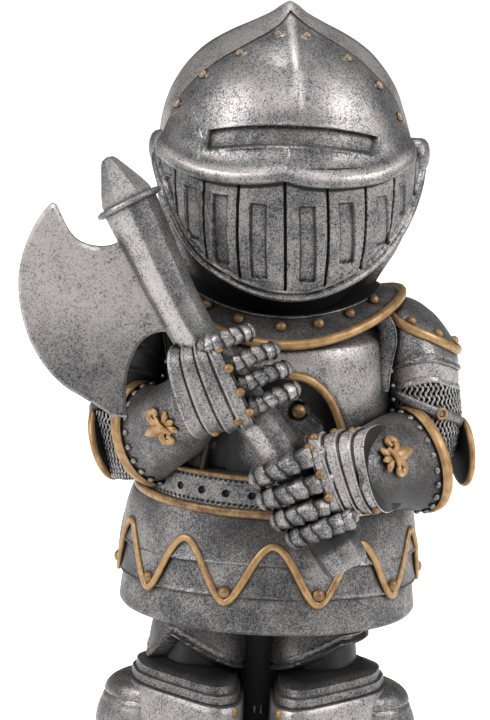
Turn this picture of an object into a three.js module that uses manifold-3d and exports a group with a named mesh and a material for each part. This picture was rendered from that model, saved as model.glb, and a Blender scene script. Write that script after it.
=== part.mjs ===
// Cast-resin figurine of a squat armoured knight who holds a battle axe across the chest,
// on a low round plinth.
// Millimetres, +Z up, the front faces -Y, and the origin is under the middle of the plinth.
import * as THREE from 'three';
import { mergeVertices } from 'three/addons/utils/BufferGeometryUtils.js';
import Module from 'manifold-3d';

const wasm = await Module();
wasm.setup();

// Driving dimensions
const figureHeight = 172;
const plinthHeight = 9;
const plinthMargin = 4.5;
const plinthFootDepth = 3.2;
const plinthFootStep = 1.6;
const plinthTopRound = 1.4;
const plinthSides = 36;

// The figure's pose and carving are shares of its own height, which is divided into this many parts.
// From here on every place and size on the figure is in those parts, with z = 0 at the soles.
const sculptParts = 172;
const part = figureHeight / sculptParts;

const rivetRadius = 1.25;
const trimHalfWidth = 0.95;
const trimHalfDepth = 0.75;
const shaftRadius = { top: 5.2, grip: 4.4, butt: 4.2 };
const bladeThickness = 2.8;
const bladeBevel = 0.7;
const visorThickness = 1.2;
const recessDepth = 1.4;
const fingerRadius = { upper: 1.95, lower: 2.3 };
const waveCount = 10;
const waveTop = 63.4;
const waveBottom = 51.2;
const wavePhase = 1.5;
const hemHeight = 45;
const legMiddle = -1.6;
const webHalfWidth = 6.5;
const webHalfDepth = 7;
const webFoot = 16;

const degrees = Math.PI / 180;
const vector = (x, y, z) => new THREE.Vector3(x, y, z);

// A closed skin over rings of points. A loop joins its last ring to its first, and other skins are capped.
function closedSkin(rings, loop = false) {
  const sides = rings[0].length;
  const points = rings.flat();
  const faces = [];
  const steps = loop ? rings.length : rings.length - 1;
  for (let step = 0; step < steps; step += 1) {
    const here = step * sides;
    const next = ((step + 1) % rings.length) * sides;
    for (let side = 0; side < sides; side += 1) {
      const after = (side + 1) % sides;
      faces.push(here + side, here + after, next + after, here + side, next + after, next + side);
    }
  }
  if (!loop) {
    const last = (rings.length - 1) * sides;
    for (const [start, turned] of [[0, true], [last, false]]) {
      const middle = vector(0, 0, 0);
      for (let side = 0; side < sides; side += 1) middle.addScaledVector(points[start + side], 1 / sides);
      points.push(middle);
      for (let side = 0; side < sides; side += 1) {
        const edge = [start + side, start + (side + 1) % sides];
        if (turned) edge.reverse();
        faces.push(points.length - 1, ...edge);
      }
    }
  }
  return skinGeometry(points, faces);
}

function skinGeometry(points, faces) {
  let volume = 0;
  for (let i = 0; i < faces.length; i += 3) {
    const [a, b, c] = [points[faces[i]], points[faces[i + 1]], points[faces[i + 2]]];
    volume += a.dot(b.clone().cross(c));
  }
  if (volume < 0) faces.reverse();
  const geometry = new THREE.BufferGeometry();
  geometry.setFromPoints(points);
  geometry.setIndex(faces);
  return geometry;
}

function solidOf(geometry) {
  const bare = geometry.clone();
  bare.deleteAttribute('normal');
  bare.deleteAttribute('uv');
  const merged = mergeVertices(bare, 1e-4);
  const vertProperties = Float32Array.from(merged.attributes.position.array);
  const triVerts = Uint32Array.from(merged.index.array);
  return new wasm.Manifold(new wasm.Mesh({ numProp: 3, vertProperties, triVerts }));
}

const joined = (solids) => solids.reduce((whole, solid) => whole.add(solid));

// One row of an upright body: half its width, its reach to the front and back, and where its middle is.
function row(z, wide, front, back = front, x = 0) {
  return { z, wide, front, back, x };
}

function rowPoint(level, angle, grow = 0) {
  const depth = Math.sin(angle) < 0 ? level.front : level.back;
  const x = level.x + (level.wide + grow) * Math.cos(angle);
  return vector(x, (depth + grow) * Math.sin(angle), level.z);
}

function rowRing(level, sides, grow = 0, keel = 0) {
  return Array.from({ length: sides }, (_, side) => {
    const angle = (side / sides) * 2 * Math.PI;
    const point = rowPoint(level, angle, grow);
    const onMiddle = Math.abs(Math.cos(angle)) < 0.01;
    if (onMiddle) point.y += Math.sign(point.y) * keel;
    return point;
  });
}

function rowBody(rows, sides, grow = 0) {
  return solidOf(closedSkin(rows.map((level) => rowRing(level, sides, grow))));
}

// The row at any height of a body, between the rows that define it.
function rowAt(rows, z) {
  const above = Math.max(1, rows.findIndex((level, index) => level.z >= z || index === rows.length - 1));
  const [low, high] = [rows[above - 1], rows[above]];
  const share = (z - low.z) / (high.z - low.z);
  const mix = (name) => low[name] + (high[name] - low[name]) * share;
  return row(z, mix('wide'), mix('front'), mix('back'), mix('x'));
}

// A place on a body: the bearing is 0 degrees at the front and grows towards +x.
function onBody(rows, bearing, z, grow = 0) {
  const angle = (bearing - 90) * degrees;
  const at = rowPoint(rowAt(rows, z), angle, grow);
  const level = rowAt(rows, z);
  const depth = Math.sin(angle) < 0 ? level.front : level.back;
  const out = vector(Math.cos(angle) / level.wide, Math.sin(angle) / depth, 0).normalize();
  return { at, out };
}

// A limb through stations: a middle, and the two half-axes of its section as vectors.
function limb(stations, sides, squareness = 1) {
  const bent = (value) => Math.sign(value) * Math.abs(value) ** squareness;
  const rings = stations.map(({ at, side, up }) => Array.from({ length: sides }, (_, index) => {
    const angle = (index / sides) * 2 * Math.PI;
    const point = vector(...at);
    point.addScaledVector(vector(...side), bent(Math.cos(angle)));
    return point.addScaledVector(vector(...up), bent(Math.sin(angle)));
  }));
  return solidOf(closedSkin(rings));
}

// A round bar through places, with a radius at each.
function bar(places, radii, sides) {
  const points = places.map((place) => vector(...place));
  const rings = points.map((at, index) => {
    const before = points[Math.max(index - 1, 0)];
    const after = points[Math.min(index + 1, points.length - 1)];
    const along = after.clone().sub(before).normalize();
    const side = vector(0, -1, 0).cross(along).normalize();
    const up = along.clone().cross(side);
    return Array.from({ length: sides }, (_, spoke) => {
      const angle = (spoke / sides) * 2 * Math.PI;
      const reach = side.clone().multiplyScalar(Math.cos(angle)).addScaledVector(up, Math.sin(angle));
      return at.clone().addScaledVector(reach, radii[index]);
    });
  });
  return solidOf(closedSkin(rings));
}

// A flat band that lies on a surface and follows places on it, each with the way out of the surface.
function band(places, halfWidth, halfDepth, loop = false) {
  const count = places.length;
  const rings = places.map(({ at, out }, index) => {
    const before = places[loop ? (index - 1 + count) % count : Math.max(index - 1, 0)].at;
    const after = places[loop ? (index + 1) % count : Math.min(index + 1, count - 1)].at;
    const along = after.clone().sub(before).normalize();
    const across = along.clone().cross(out).normalize();
    return [[-1, -1], [1, -1], [1, 1], [-1, 1]].map(([wide, deep]) => at.clone()
      .addScaledVector(across, wide * halfWidth * (deep > 0 ? 0.7 : 1))
      .addScaledVector(out, deep * halfDepth));
  });
  return solidOf(closedSkin(rings, loop));
}

// Turns a geometry that stands along +Z so that it points along a direction, and places it.
function planted(geometry, at, direction, spin = 0) {
  const turn = new THREE.Quaternion().setFromUnitVectors(vector(0, 0, 1), direction.clone().normalize());
  geometry.rotateZ(spin).applyQuaternion(turn).translate(at.x, at.y, at.z);
  return solidOf(geometry);
}

function turned(profile, sides) {
  const geometry = new THREE.LatheGeometry(profile.map(([r, h]) => new THREE.Vector2(r, h)), sides);
  return geometry.rotateX(Math.PI / 2);
}

function rivet({ at, out }, radius = rivetRadius) {
  const profile = [[0, -radius], [radius, -radius * 0.15], [0, radius * 0.75]];
  return planted(turned(profile, 5), at, out);
}

const spread = (first, last, count) => Array.from({ length: count }, (_, index) =>
  first + ((last - first) * index) / (count - 1));

const around = (count) => Array.from({ length: count }, (_, index) => (index / count) * 360);

// Helmet: an ogee skull with a raised visor plate over its front, a brow lip and a barred face guard.
const skullRows = [
  row(106, 16.5, 17, 19), row(114.3, 19.4, 21.5, 22.5), row(121, 23.3, 24.6, 25.6),
  row(130, 26.3, 26.9, 27.9), row(137, 26.8, 27.4, 28.4, -0.2), row(144, 26, 27, 27.8, -0.6),
  row(150, 24.6, 26, 26.4, -1), row(155, 22.6, 24.2, 24.4, -1), row(159, 19.9, 21.6, 21.6, -1),
  row(162.5, 16.4, 18.2, 18, -0.9), row(165.3, 12, 13.6, 13.2, -0.8), row(167.6, 7.4, 8.8, 8.2, -0.8),
  row(169.7, 3.6, 4.4, 4, -0.8), row(172, 0.8, 0.8, 0.8, -0.8),
];
const guardRows = [
  row(112, 20, 25.6, 22), row(118, 23, 27.6, 24.8), row(126, 26.1, 29.2, 26.8), row(134, 27.5, 30.1, 28),
  row(142, 27.8, 30.3, 28),
];
const headSides = 20;
const keelHeight = 0.9;

function shell(rows, grow, keel) {
  const top = rows[rows.length - 1].z;
  const rings = rows.map((level) => {
    const share = Math.min(1, (top - level.z) / 6);
    return rowRing(level, headSides, grow * share, keel * Math.min(share, level.z > 148 ? 1 : 0));
  });
  return solidOf(closedSkin(rings));
}

function boxBetween(low, high) {
  const size = high.map((value, axis) => value - low[axis]);
  const box = new THREE.BoxGeometry(...size);
  return solidOf(box.translate(...low.map((value, axis) => value + size[axis] / 2)));
}

// A prism whose outline is drawn in x and z, between two depths.
function frontPrism(outline, front, back) {
  const depth = back - front;
  const geometry = new THREE.ExtrudeGeometry(outline, { depth, bevelEnabled: false, curveSegments: 7 });
  return solidOf(geometry.rotateX(Math.PI / 2).translate(0, back, 0));
}

// The face guard ends on a line that falls from the pivots to the chin, drawn here in y and z.
const rimLine = [[-27.4, 113.4], [-24.6, 116.6], [-19.5, 121.3], [-10.4, 127.6], [-5, 132], [-2.6, 136.5]];

function rimHeight(bearing) {
  const y = onBody(guardRows, bearing, 122).at.y;
  const next = Math.max(1, rimLine.findIndex(([lineY]) => lineY >= y));
  const [low, high] = [rimLine[next - 1], rimLine[next]];
  return low[1] + ((high[1] - low[1]) * (y - low[0])) / (high[0] - low[0]);
}

// A cutter that stands across the face guard at a bearing and leans with its surface.
function guardCut(bearing, halfWidth, low, high) {
  const foot = onBody(guardRows, bearing, low, -recessDepth).at;
  const head = onBody(guardRows, bearing, high, -recessDepth).at;
  const up = head.clone().sub(foot);
  const out = vector(Math.sin(bearing * degrees), -Math.cos(bearing * degrees), 0);
  const across = out.clone().cross(up).normalize();
  out.crossVectors(up, across).normalize();
  const reach = 6;
  const box = new THREE.BoxGeometry(halfWidth * 2, reach, up.length()).translate(0, reach / 2, 0);
  box.applyMatrix4(new THREE.Matrix4().makeBasis(across, out, up.clone().normalize()));
  const middle = foot.add(head).multiplyScalar(0.5);
  return solidOf(box.translate(middle.x, middle.y, middle.z));
}

function helmet() {
  const skull = shell(skullRows, 0, keelHeight);
  const visorRows = skullRows.filter((level) => level.z > 136);
  const visorEdge = boxBetween([-40, -60, 130], [40, -8.5, 180]);
  const visor = shell(visorRows, visorThickness, keelHeight).intersect(visorEdge);

  const slot = new THREE.Shape();
  slot.moveTo(-17.2, 144.4).lineTo(-17.2, 147.9);
  slot.quadraticCurveTo(0, 152.9, 17.9, 147.5).lineTo(17.5, 144.4);
  slot.quadraticCurveTo(0, 148.6, -17.2, 144.4);
  const slotCut = frontPrism(slot, -45, -12).subtract(shell(skullRows, visorThickness - recessDepth, 0));

  const guardShape = new THREE.Shape();
  guardShape.moveTo(-2, 143).lineTo(-50, 143).lineTo(-50, 100).lineTo(-29.5, 110);
  rimLine.forEach(([y, z]) => guardShape.lineTo(y, z));
  const side = new THREE.ExtrudeGeometry(guardShape, { depth: 80, bevelEnabled: false });
  side.rotateX(Math.PI / 2).rotateZ(Math.PI / 2).translate(-40, 0, 0);
  const guard = rowBody(guardRows, headSides).intersect(solidOf(side));
  const panelAngle = 18;
  const windows = spread(-3.5, 3.5, 8).map((panel) => {
    const bearing = panel * panelAngle;
    return guardCut(bearing, 1.7, rimHeight(bearing) + 4.6, 135.7);
  });
  const barredGuard = guard.subtract(joined(windows));

  const lip = spread(-78, 78, 13).map((bearing) => {
    const swept = Math.abs(bearing) / 78;
    const z = 140.6 + 2.6 * swept ** 4 + (bearing === 0 ? 0.5 : 0);
    return { ...onBody(guardRows, bearing, z, 0.2), bearing };
  });
  const lipRings = lip.map(({ at, out }) => Array.from({ length: 6 }, (_, index) => {
    const angle = (index / 6) * 2 * Math.PI;
    return at.clone().addScaledVector(out, 1.9 * Math.cos(angle)).add(vector(0, 0, 2.3 * Math.sin(angle)));
  }));
  const brow = solidOf(closedSkin(lipRings));

  const rim = spread(-82, 82, 13)
    .map((bearing) => onBody(guardRows, bearing, rimHeight(bearing) + 0.9, 0.1));
  const rimBand = band(rim, 1, 0.8);

  const pivots = [[-25.2, -4, 143.3, -1], [26.2, -4, 140.8, 1]].map(([x, y, z, way]) => planted(
    turned([[0, -3], [5, -3], [5, 1.2], [3.9, 2.1], [1.8, 2.4], [0, 3.6]], 8),
    vector(x, y, z), vector(way, -0.25, 0),
  ));
  const rivetSpots = [[-6, 167.6], [-25, 163], [-42, 158.4], [-62, 151.4], [6, 166.6], [27, 161.8],
    [46, 156], [62, 148.6]];
  const rivets = rivetSpots.map(([bearing, z]) => rivet(onBody(skullRows, bearing, z, visorThickness)));
  return joined([skull, visor, barredGuard, brow, rimBand, ...pivots, ...rivets]).subtract(slotCut);
}

// Trunk: breastplate, gorget, belt and a skirt of lames under a scalloped fauld.
const trunkRows = [
  row(58, 27, 25.5, 24.5), row(70, 27.6, 26.4, 25.2), row(78, 26.4, 25.6, 24.4), row(90, 25, 25.4, 23.8),
  row(98, 24.6, 25.3, 23.6), row(104, 23.2, 24.2, 22.6), row(109, 20, 20.8, 20), row(112, 17, 18, 18),
];
const skirtRows = [
  row(hemHeight, 31, 28.3, 27.6, -0.4), row(53, 30.2, 27.5, 26.8, -0.4), row(60, 29.9, 27.2, 26.6, -0.4),
  row(66, 29, 26.8, 26.2, -0.4), row(70.5, 27.6, 26, 25.4, -0.3),
];
const scallopGrow = 1.1;
const beltLow = 70.2;
const beltHigh = 77.4;
const trunkSides = 24;
const scallopSides = 40;

const gorgetLow = (bearing) => 105.2 + 8 * Math.sin(bearing * degrees) ** 2;
const gorgetHigh = (bearing) => 110.2 + 3.4 * Math.sin(bearing * degrees) ** 2;
const scallop = (bearing) => (waveTop + waveBottom) / 2
  + ((waveTop - waveBottom) / 2) * Math.cos((bearing - wavePhase) * waveCount * degrees);

function collarPoint(bearing, reach, z) {
  const angle = (bearing - 90) * degrees;
  return vector(reach * Math.cos(angle), reach * Math.sin(angle), z);
}

function gorget() {
  const bearings = around(trunkSides);
  const middle = (bearing) => (gorgetLow(bearing) + gorgetHigh(bearing)) / 2 + 0.6;
  const ring = (reach, height, lift) => bearings
    .map((bearing) => collarPoint(bearing, reach, height(bearing) + lift));
  const rings = [
    ring(20, gorgetLow, -3), ring(25.6, gorgetLow, -trimHalfWidth), ring(25.4, gorgetLow, trimHalfWidth),
    ring(24.2, gorgetLow, trimHalfWidth), ring(21.6, middle, 0), ring(19.6, gorgetHigh, 0),
    ring(16, gorgetHigh, -1.4),
  ];
  const rivets = [-45, -24, 0, 21, 41].map((bearing) => {
    const angle = (bearing - 90) * degrees;
    const z = (gorgetLow(bearing) + gorgetHigh(bearing)) / 2 + 0.4;
    return rivet({ at: collarPoint(bearing, 22, z), out: vector(Math.cos(angle), Math.sin(angle), 0.8) });
  });
  return joined([solidOf(closedSkin(rings)), ...rivets]);
}

function skirt() {
  const recess = rowRing(row(hemHeight + 3.5, 27.4, 24.6, 24, -0.4), trunkSides);
  const recessEdge = rowRing(row(hemHeight, 28.4, 25.6, 25, -0.4), trunkSides);
  const lameEdges = [[hemHeight, 0], [hemHeight + 7.6, -0.3], [hemHeight + 7.9, 0.5], [59.3, 0.1],
    [59.6, 0.7], [66, 0]];
  const outside = lameEdges.map(([z, grow]) => rowRing(rowAt(skirtRows, z), trunkSides, grow));
  const lames = solidOf(closedSkin([recess, recessEdge, ...outside]));

  const bearings = around(scallopSides);
  const edge = (grow, lift = 0) => bearings.map((bearing) =>
    onBody(skirtRows, bearing, scallop(bearing) + lift, scallopGrow + grow).at);
  const level = (z, grow) => bearings.map((bearing) => onBody(skirtRows, bearing, z, grow).at);
  const fauld = solidOf(closedSkin([edge(-3), edge(trimHalfDepth), edge(trimHalfDepth, 2 * trimHalfWidth),
    edge(0, 2 * trimHalfWidth), level(67.5, scallopGrow - 0.4), level(70.5, -2)]));
  const troughs = around(waveCount).map((bearing) => bearing + wavePhase + 180 / waveCount);
  const rivets = troughs.map((bearing) => rivet(onBody(skirtRows, bearing, waveBottom + 2.6, scallopGrow)));
  return joined([lames, fauld, ...rivets]);
}

function trunk() {
  const body = rowBody(trunkRows, trunkSides);
  const beltLevels = [
    [beltLow - trimHalfWidth, 1.1], [beltLow + trimHalfWidth, 1.1], [beltLow + trimHalfWidth, 0.3],
    [beltHigh - trimHalfWidth, 0.3], [beltHigh - trimHalfWidth, 1], [beltHigh + trimHalfWidth, 1],
  ];
  const beltRings = beltLevels.map(([z, grow]) => rowRing(rowAt(trunkRows, z), trunkSides, grow));
  const belt = solidOf(closedSkin(beltRings));
  const arch = [[5, 98.9], [11, 98.3], [17, 96.8], [22.5, 94.4], [27, 91.6], [31, 87.6], [33, 82]]
    .map(([bearing, z]) => onBody(trunkRows, bearing, z, 0.3));
  const plate = [[6, 94], [12, 94.6], [16, 92], [20, 88], [22, 84]]
    .map(([bearing, z]) => onBody(trunkRows, bearing, z, 0));
  const archStud = rivet(onBody(trunkRows, 9, 91.6, 0.6), 1.5);
  return joined([body, belt, band(arch, 0.9, 0.8), band(plate, 0.5, 0.5), archStud, gorget(), skirt()]);
}

// Arms: a pauldron with two lames, a mail sleeve, an elbow dish and a flared vambrace.
function arm(way) {
  const across = (x) => x * way;
  const elbowOut = way > 0 ? 31.2 : 30.2;
  const upper = [
    { z: 110.5, x: 23.5, y: 0, wide: 3, deep: 6 }, { z: 109, x: 25.2, y: -0.6, wide: 6, deep: 9.6 },
    { z: 105.5, x: 27, y: -1.4, wide: 8.2, deep: 12 }, { z: 101.6, x: 28.2, y: -2, wide: 9.3, deep: 12.8 },
    { z: 101.3, x: 28.2, y: -2, wide: 8.6, deep: 12 }, { z: 97.4, x: 28.8, y: -2, wide: 8.9, deep: 12 },
    { z: 97.1, x: 28.8, y: -2, wide: 8.3, deep: 11.3 }, { z: 93, x: 29.4, y: -2.4, wide: 8.7, deep: 11.2 },
    { z: 92.7, x: 29.4, y: -2.4, wide: 7.6, deep: 9.6 }, { z: 86, x: 30.8, y: -3.4, wide: 7.4, deep: 9 },
    { z: 79, x: elbowOut, y: -4.6, wide: 6, deep: 8 },
    { z: 73, x: elbowOut - 0.8, y: -5, wide: 4.8, deep: 6.4 },
  ];
  const sleeve = limb(upper.map(({ z, x, y, wide, deep }) => (
    { at: [across(x), y, z], side: [across(wide), 0, 0], up: [0, deep, 0] })), 10);
  const capEdge = spread(-150, 30, 8).map((turn) => {
    const out = vector(across(Math.cos(turn * degrees)), Math.sin(turn * degrees), 0);
    const fall = 4.2 * (0.5 + 0.5 * Math.cos(turn * degrees)) - 1.6;
    return { at: vector(across(27.9) + out.x * 9.2, -2 + out.y * 12.6, 104.6 - fall), out };
  });
  const capTrim = band(capEdge, trimHalfWidth, trimHalfDepth + 0.2);
  const dishMiddle = way > 0 ? vector(37.5, -4, 79.6) : vector(-34.4, -4, 78.2);
  const dishWay = vector(way * 0.95, -0.12, way > 0 ? -0.1 : -0.32);
  const dish = planted(turned([[0, -2], [8.8, -1.2], [8.6, 1.1], [7.2, 1], [4.4, 3.2], [0, 4.2]], 8),
    dishMiddle, dishWay);
  return joined([sleeve, capTrim, dish]);
}

function vambrace(elbow, cuff, ...rest) {
  const along = vector(...cuff.side).cross(vector(...cuff.up)).normalize();
  const edge = (shift, scale) => ({
    at: vector(...cuff.at).addScaledVector(along, shift).toArray(),
    side: cuff.side.map((value) => value * scale),
    up: cuff.up.map((value) => value * scale),
  });
  return limb([elbow, edge(-1, 1.02), edge(-0.6, 1.1), edge(1.1, 1.08), edge(1.1, 0.99), ...rest], 10);
}

// A gauntlet: overlapping lames from cuff to knuckles, and a finger for each row given.
function gauntlet({ wrist, knuckles, lames, fingers, radius }) {
  const mix = (a, b, share) => a.map((value, axis) => value + (b[axis] - value) * share);
  const stations = [];
  for (let lame = 0; lame < lames; lame += 1) {
    for (const [share, scale] of [[lame / lames, 1.05], [(lame + 0.94) / lames, 0.96]]) {
      stations.push({
        at: mix(wrist.at, knuckles.at, share),
        side: mix(wrist.side, knuckles.side, share).map((value) => value * scale),
        up: mix(wrist.up, knuckles.up, share).map((value) => value * scale),
      });
    }
  }
  const hand = limb(stations, 8, 0.75);
  const fingerBars = fingers.map((places) => bar(places, [radius, radius * 1.12, radius, radius * 0.7], 5));
  return joined([hand, ...fingerBars]);
}

function rightHandArm() {
  const forearm = vambrace(
    { at: [31, -7, 80.5], side: [-5.4, 6.6, 0], up: [-2, 0, 8.6] },
    { at: [29, -11, 80.6], side: [-5.2, 7.9, 0], up: [-3, 0, 10.2] },
    { at: [23.5, -19, 80.2], side: [-5, 6.4, 0], up: [-1, 0, 9.6] },
    { at: [18, -28, 80], side: [-4.6, 5.4, 0], up: [-0.8, 0, 9] },
  );
  const hand = gauntlet({
    wrist: { at: [19.6, -30.5, 80.4], side: [-3.4, -6.6, 0], up: [-0.9, 0, 9] },
    knuckles: { at: [7.6, -38.8, 81.4], side: [-0.6, -4.4, 0], up: [-4, 0, 8.8] },
    lames: 4,
    fingers: [
      [[7, -39.5, 87], [3.4, -41.4, 86], [-1.6, -40, 82.4], [-5.4, -36.6, 79.8]],
      [[9, -39.5, 82.6], [5, -41.8, 81.4], [0, -40.4, 78], [-3.4, -37, 75.4]],
      [[11, -39.5, 78.2], [8, -41.8, 76.8], [3.4, -40.6, 73.8], [0, -37.4, 71.2]],
      [[13, -39, 74], [11.2, -41.2, 72.4], [7, -40.2, 69.6], [3.8, -37.4, 67.4]],
    ],
    radius: fingerRadius.lower,
  });
  return joined([arm(1), forearm, hand]);
}

function leftHandArm() {
  const forearm = vambrace(
    { at: [-30.6, -6.5, 80.4], side: [5.4, 6.6, 0], up: [-2, 0, 8.6] },
    { at: [-28, -11, 82.4], side: [5.4, 7.2, -0.6], up: [-3.2, 0, 9.8] },
    { at: [-23.4, -19, 85.8], side: [4.4, 6, 0], up: [-2.8, 0, 8.1] },
    { at: [-17.6, -28, 90.4], side: [4.2, 5.2, 0], up: [-2.6, 0, 7.6] },
  );
  const hand = gauntlet({
    wrist: { at: [-19, -31.2, 97.2], side: [2.6, 5.6, 0], up: [-3, 0, 8.6] },
    knuckles: { at: [-8.8, -35.6, 101], side: [-0.6, 4.6, 0], up: [-4.4, 0, 7.6] },
    lames: 4,
    fingers: [
      [[-12.4, -36.6, 107.4], [-10.4, -38.2, 108.8], [-8, -37.4, 109.6], [-5.8, -34.6, 110.2]],
      [[-10.4, -37, 103.2], [-7.6, -38.8, 104.8], [-3.8, -37.6, 106.2], [-0.9, -34.8, 107]],
      [[-8, -37.2, 99.2], [-5.2, -38.8, 101], [-1.6, -37.8, 102], [1.5, -35, 102.5]],
      [[-5.6, -37, 95.6], [-2.6, -38.6, 97.2], [1, -37.8, 98.2], [4.1, -35.2, 98.9]],
    ],
    radius: fingerRadius.upper,
  });
  return joined([arm(-1), forearm, hand]);
}

// A raised lily: a long centre leaf, two curled side leaves and the bar that ties them.
function lily(at, out, point) {
  const leaf = new THREE.Shape();
  leaf.moveTo(0, 6).lineTo(1.7, 2).lineTo(1.2, 0.6).lineTo(3.4, 1.4).lineTo(4.6, -0.4).lineTo(3, -2.2);
  leaf.lineTo(1.3, -0.9).lineTo(1.3, -2.2).lineTo(0, -4.6).lineTo(-1.3, -2.2).lineTo(-1.3, -0.9);
  leaf.lineTo(-3, -2.2).lineTo(-4.6, -0.4).lineTo(-3.4, 1.4).lineTo(-1.2, 0.6).lineTo(-1.7, 2).lineTo(0, 6);
  const depth = 2;
  const geometry = new THREE.ExtrudeGeometry(leaf, { depth, bevelEnabled: false });
  geometry.translate(0, 0, 0.9 - depth);
  const ahead = vector(...out).normalize();
  const up = vector(...point).normalize();
  const right = up.clone().cross(ahead).normalize();
  geometry.applyMatrix4(new THREE.Matrix4().makeBasis(right, ahead.clone().cross(right), ahead));
  return solidOf(geometry.translate(...at));
}

// Axe: a tapered shaft with a collar and a cone on top, and a crescent blade in the shaft's own plane.
const shaftPlaces = [[-31.6, -25.5, 133.2], [-17.9, -30.5, 108.5], [-0.6, -33.2, 86.8], [13.6, -36.3, 65.4],
  [15.6, -36.8, 62.4]];

function axe() {
  const shaft = bar(shaftPlaces, [shaftRadius.top, shaftRadius.grip, shaftRadius.grip, shaftRadius.butt,
    shaftRadius.butt * 0.75], 10);
  const top = vector(...shaftPlaces[0]);
  const along = top.clone().sub(vector(...shaftPlaces[1])).normalize();
  const collar = shaftRadius.top + 1.7;
  const head = planted(turned([[0, -0.6], [collar - 0.6, -0.6], [collar, 0.3], [collar - 0.2, 1.5],
    [collar - 1.4, 2.2], [1.6, 9.9], [0, 10.3]], 10), top, along);

  const outline = new THREE.Shape();
  outline.moveTo(-33.2, 125.6);
  outline.bezierCurveTo(-35, 123.6, -40.4, 123.8, -42.6, 126);
  outline.bezierCurveTo(-44.6, 128, -45.2, 130.6, -46.6, 132.3);
  outline.lineTo(-47.8, 132.3);
  outline.bezierCurveTo(-51.2, 128.6, -53.4, 122, -53.4, 116.5);
  outline.bezierCurveTo(-53, 107, -48.6, 99.6, -42.4, 95.6);
  outline.bezierCurveTo(-38.6, 93.6, -35.6, 92.4, -33.4, 90.5);
  outline.lineTo(-30.3, 90.6);
  outline.bezierCurveTo(-31.2, 96, -31, 100.6, -28.6, 105);
  outline.bezierCurveTo(-27, 107.6, -24.6, 108.3, -22.4, 108.2);
  outline.lineTo(-16.4, 107.6).lineTo(-26, 125.6).lineTo(-33.2, 125.6);
  const depth = bladeThickness - 2 * bladeBevel;
  const edges = { bevelThickness: bladeBevel, bevelSize: bladeBevel, bevelOffset: -bladeBevel };
  const blade = new THREE.ExtrudeGeometry(outline, { depth, ...edges, bevelSegments: 1, curveSegments: 4 });
  blade.rotateX(Math.PI / 2).translate(0, depth / 2, 0);
  const fall = (shaftPlaces[0][1] - shaftPlaces[1][1]) / Math.hypot(13.7, 24.7);
  const position = blade.attributes.position;
  for (let index = 0; index < position.count; index += 1) {
    const across = (position.getX(index) - top.x) * -along.x;
    const down = (top.z - position.getZ(index)) * along.z;
    position.setY(index, position.getY(index) + top.y - fall * (across + down));
  }
  return joined([shaft, head, solidOf(blade)]);
}

// Legs: thigh plates, boxy knee cops turned outwards, greaves and pointed foot plates. Way is -1 or 1.
function leg(way) {
  const place = (x, y, z) => [legMiddle + way * x, y, z];
  const upright = (x, y, z, wide, deep) => ({ at: place(x, y, z), side: [wide, 0, 0], up: [0, deep, 0] });
  const thigh = limb([upright(12, -1, hemHeight + 5, 8.6, 10), upright(12.4, -2, hemHeight - 3, 9.4, 12),
    upright(12.8, -3, 34, 10, 13), upright(13, -4, 26, 9, 12)], 10, 0.85);

  const copPlan = [[26.4, -13.6], [8.4, -26.8], [3.2, -21.4], [3, -3], [11, 8], [25, 7], [31, -5]];
  const copMiddle = [14, -6];
  const copLevels = [[34.2, 0.62], [32.6, 0.8], [30.9, 0.85], [30.8, 0.9], [28.9, 0.94], [28.8, 0.99],
    [26.5, 1.03], [19, 1.06], [14.5, 0.98], [11.5, 0.8]];
  const cop = solidOf(closedSkin(copLevels.map(([z, scale]) => copPlan.map(([x, y]) => vector(
    ...place(copMiddle[0] + (x - copMiddle[0]) * scale, copMiddle[1] + (y - copMiddle[1]) * scale, z))))));
  const greave = limb([upright(17, -5, 18, 12.6, 12.6), upright(17.6, -5.4, 11, 12, 12.4),
    upright(17.4, -5.4, 6, 10.6, 11.4)], 10);
  const wing = limb([upright(18, -4, 31, 4, 5), upright(19.4, -4, 29, 9, 9),
    upright(20.4, -4, 24, 12.2, 11), upright(20.6, -4, 17, 12.8, 11.6), upright(19.6, -4, 11, 11, 11)], 10);

  const ahead = vector(way * 0.4, -0.92, 0).normalize();
  const across = vector(-ahead.y, ahead.x, 0);
  const heel = vector(legMiddle + way * 13, 8.6, 0);
  const outline = [[-1, 0], [1, 0], [1, 0.42], [0.66, 0.86], [0, 1], [-0.66, 0.86], [-1, 0.42]];
  const plates = [[0, 6.4, 8.4], [3, 8.8, 10.4], [14, 10.2, 11], [20, 10.8, 9.6], [20.2, 10.3, 8.9],
    [26, 10.6, 7.4], [26.2, 10, 6.8], [31, 8.2, 5.4], [31.2, 7.6, 4.9], [36, 3.6, 3.4], [38.5, 1.2, 2.4]];
  const onFoot = (reach, sideways, up) => heel.clone().addScaledVector(ahead, reach)
    .addScaledVector(across, sideways).add(vector(0, 0, up));
  const foot = solidOf(closedSkin(plates.map(([reach, wide, high]) => outline
    .map(([sideways, up]) => onFoot(reach, sideways * wide, up * high)))));
  const stud = rivet({ at: vector(...place(5, -22.6, 27)), out: vector(-way * 0.6, -0.8, 0) }, 1.3);
  const toe = heel.clone().addScaledVector(ahead, plates[plates.length - 1][0]);
  return { solid: joined([thigh, cop, greave, wing, foot, stud]), reach: Math.hypot(toe.x, toe.y) };
}

// The legs don't part above the knees: a web with a rounded foot joins them there.
function legWeb() {
  const levels = [[webFoot, 0.4], [webFoot + 2.5, 0.8], [webFoot + 7, 1], [hemHeight + 5, 1]];
  return limb(levels.map(([z, scale]) => ({
    at: [legMiddle, 0, z],
    side: [webHalfWidth * scale, 0, 0],
    up: [0, webHalfDepth * scale, 0],
  })), 10);
}

// A casting is solid, so a pocket that the joined forms close off is filled.
function withoutPockets(solid) {
  return joined(solid.decompose().filter((shellPart) => shellPart.volume() > 0));
}

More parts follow.
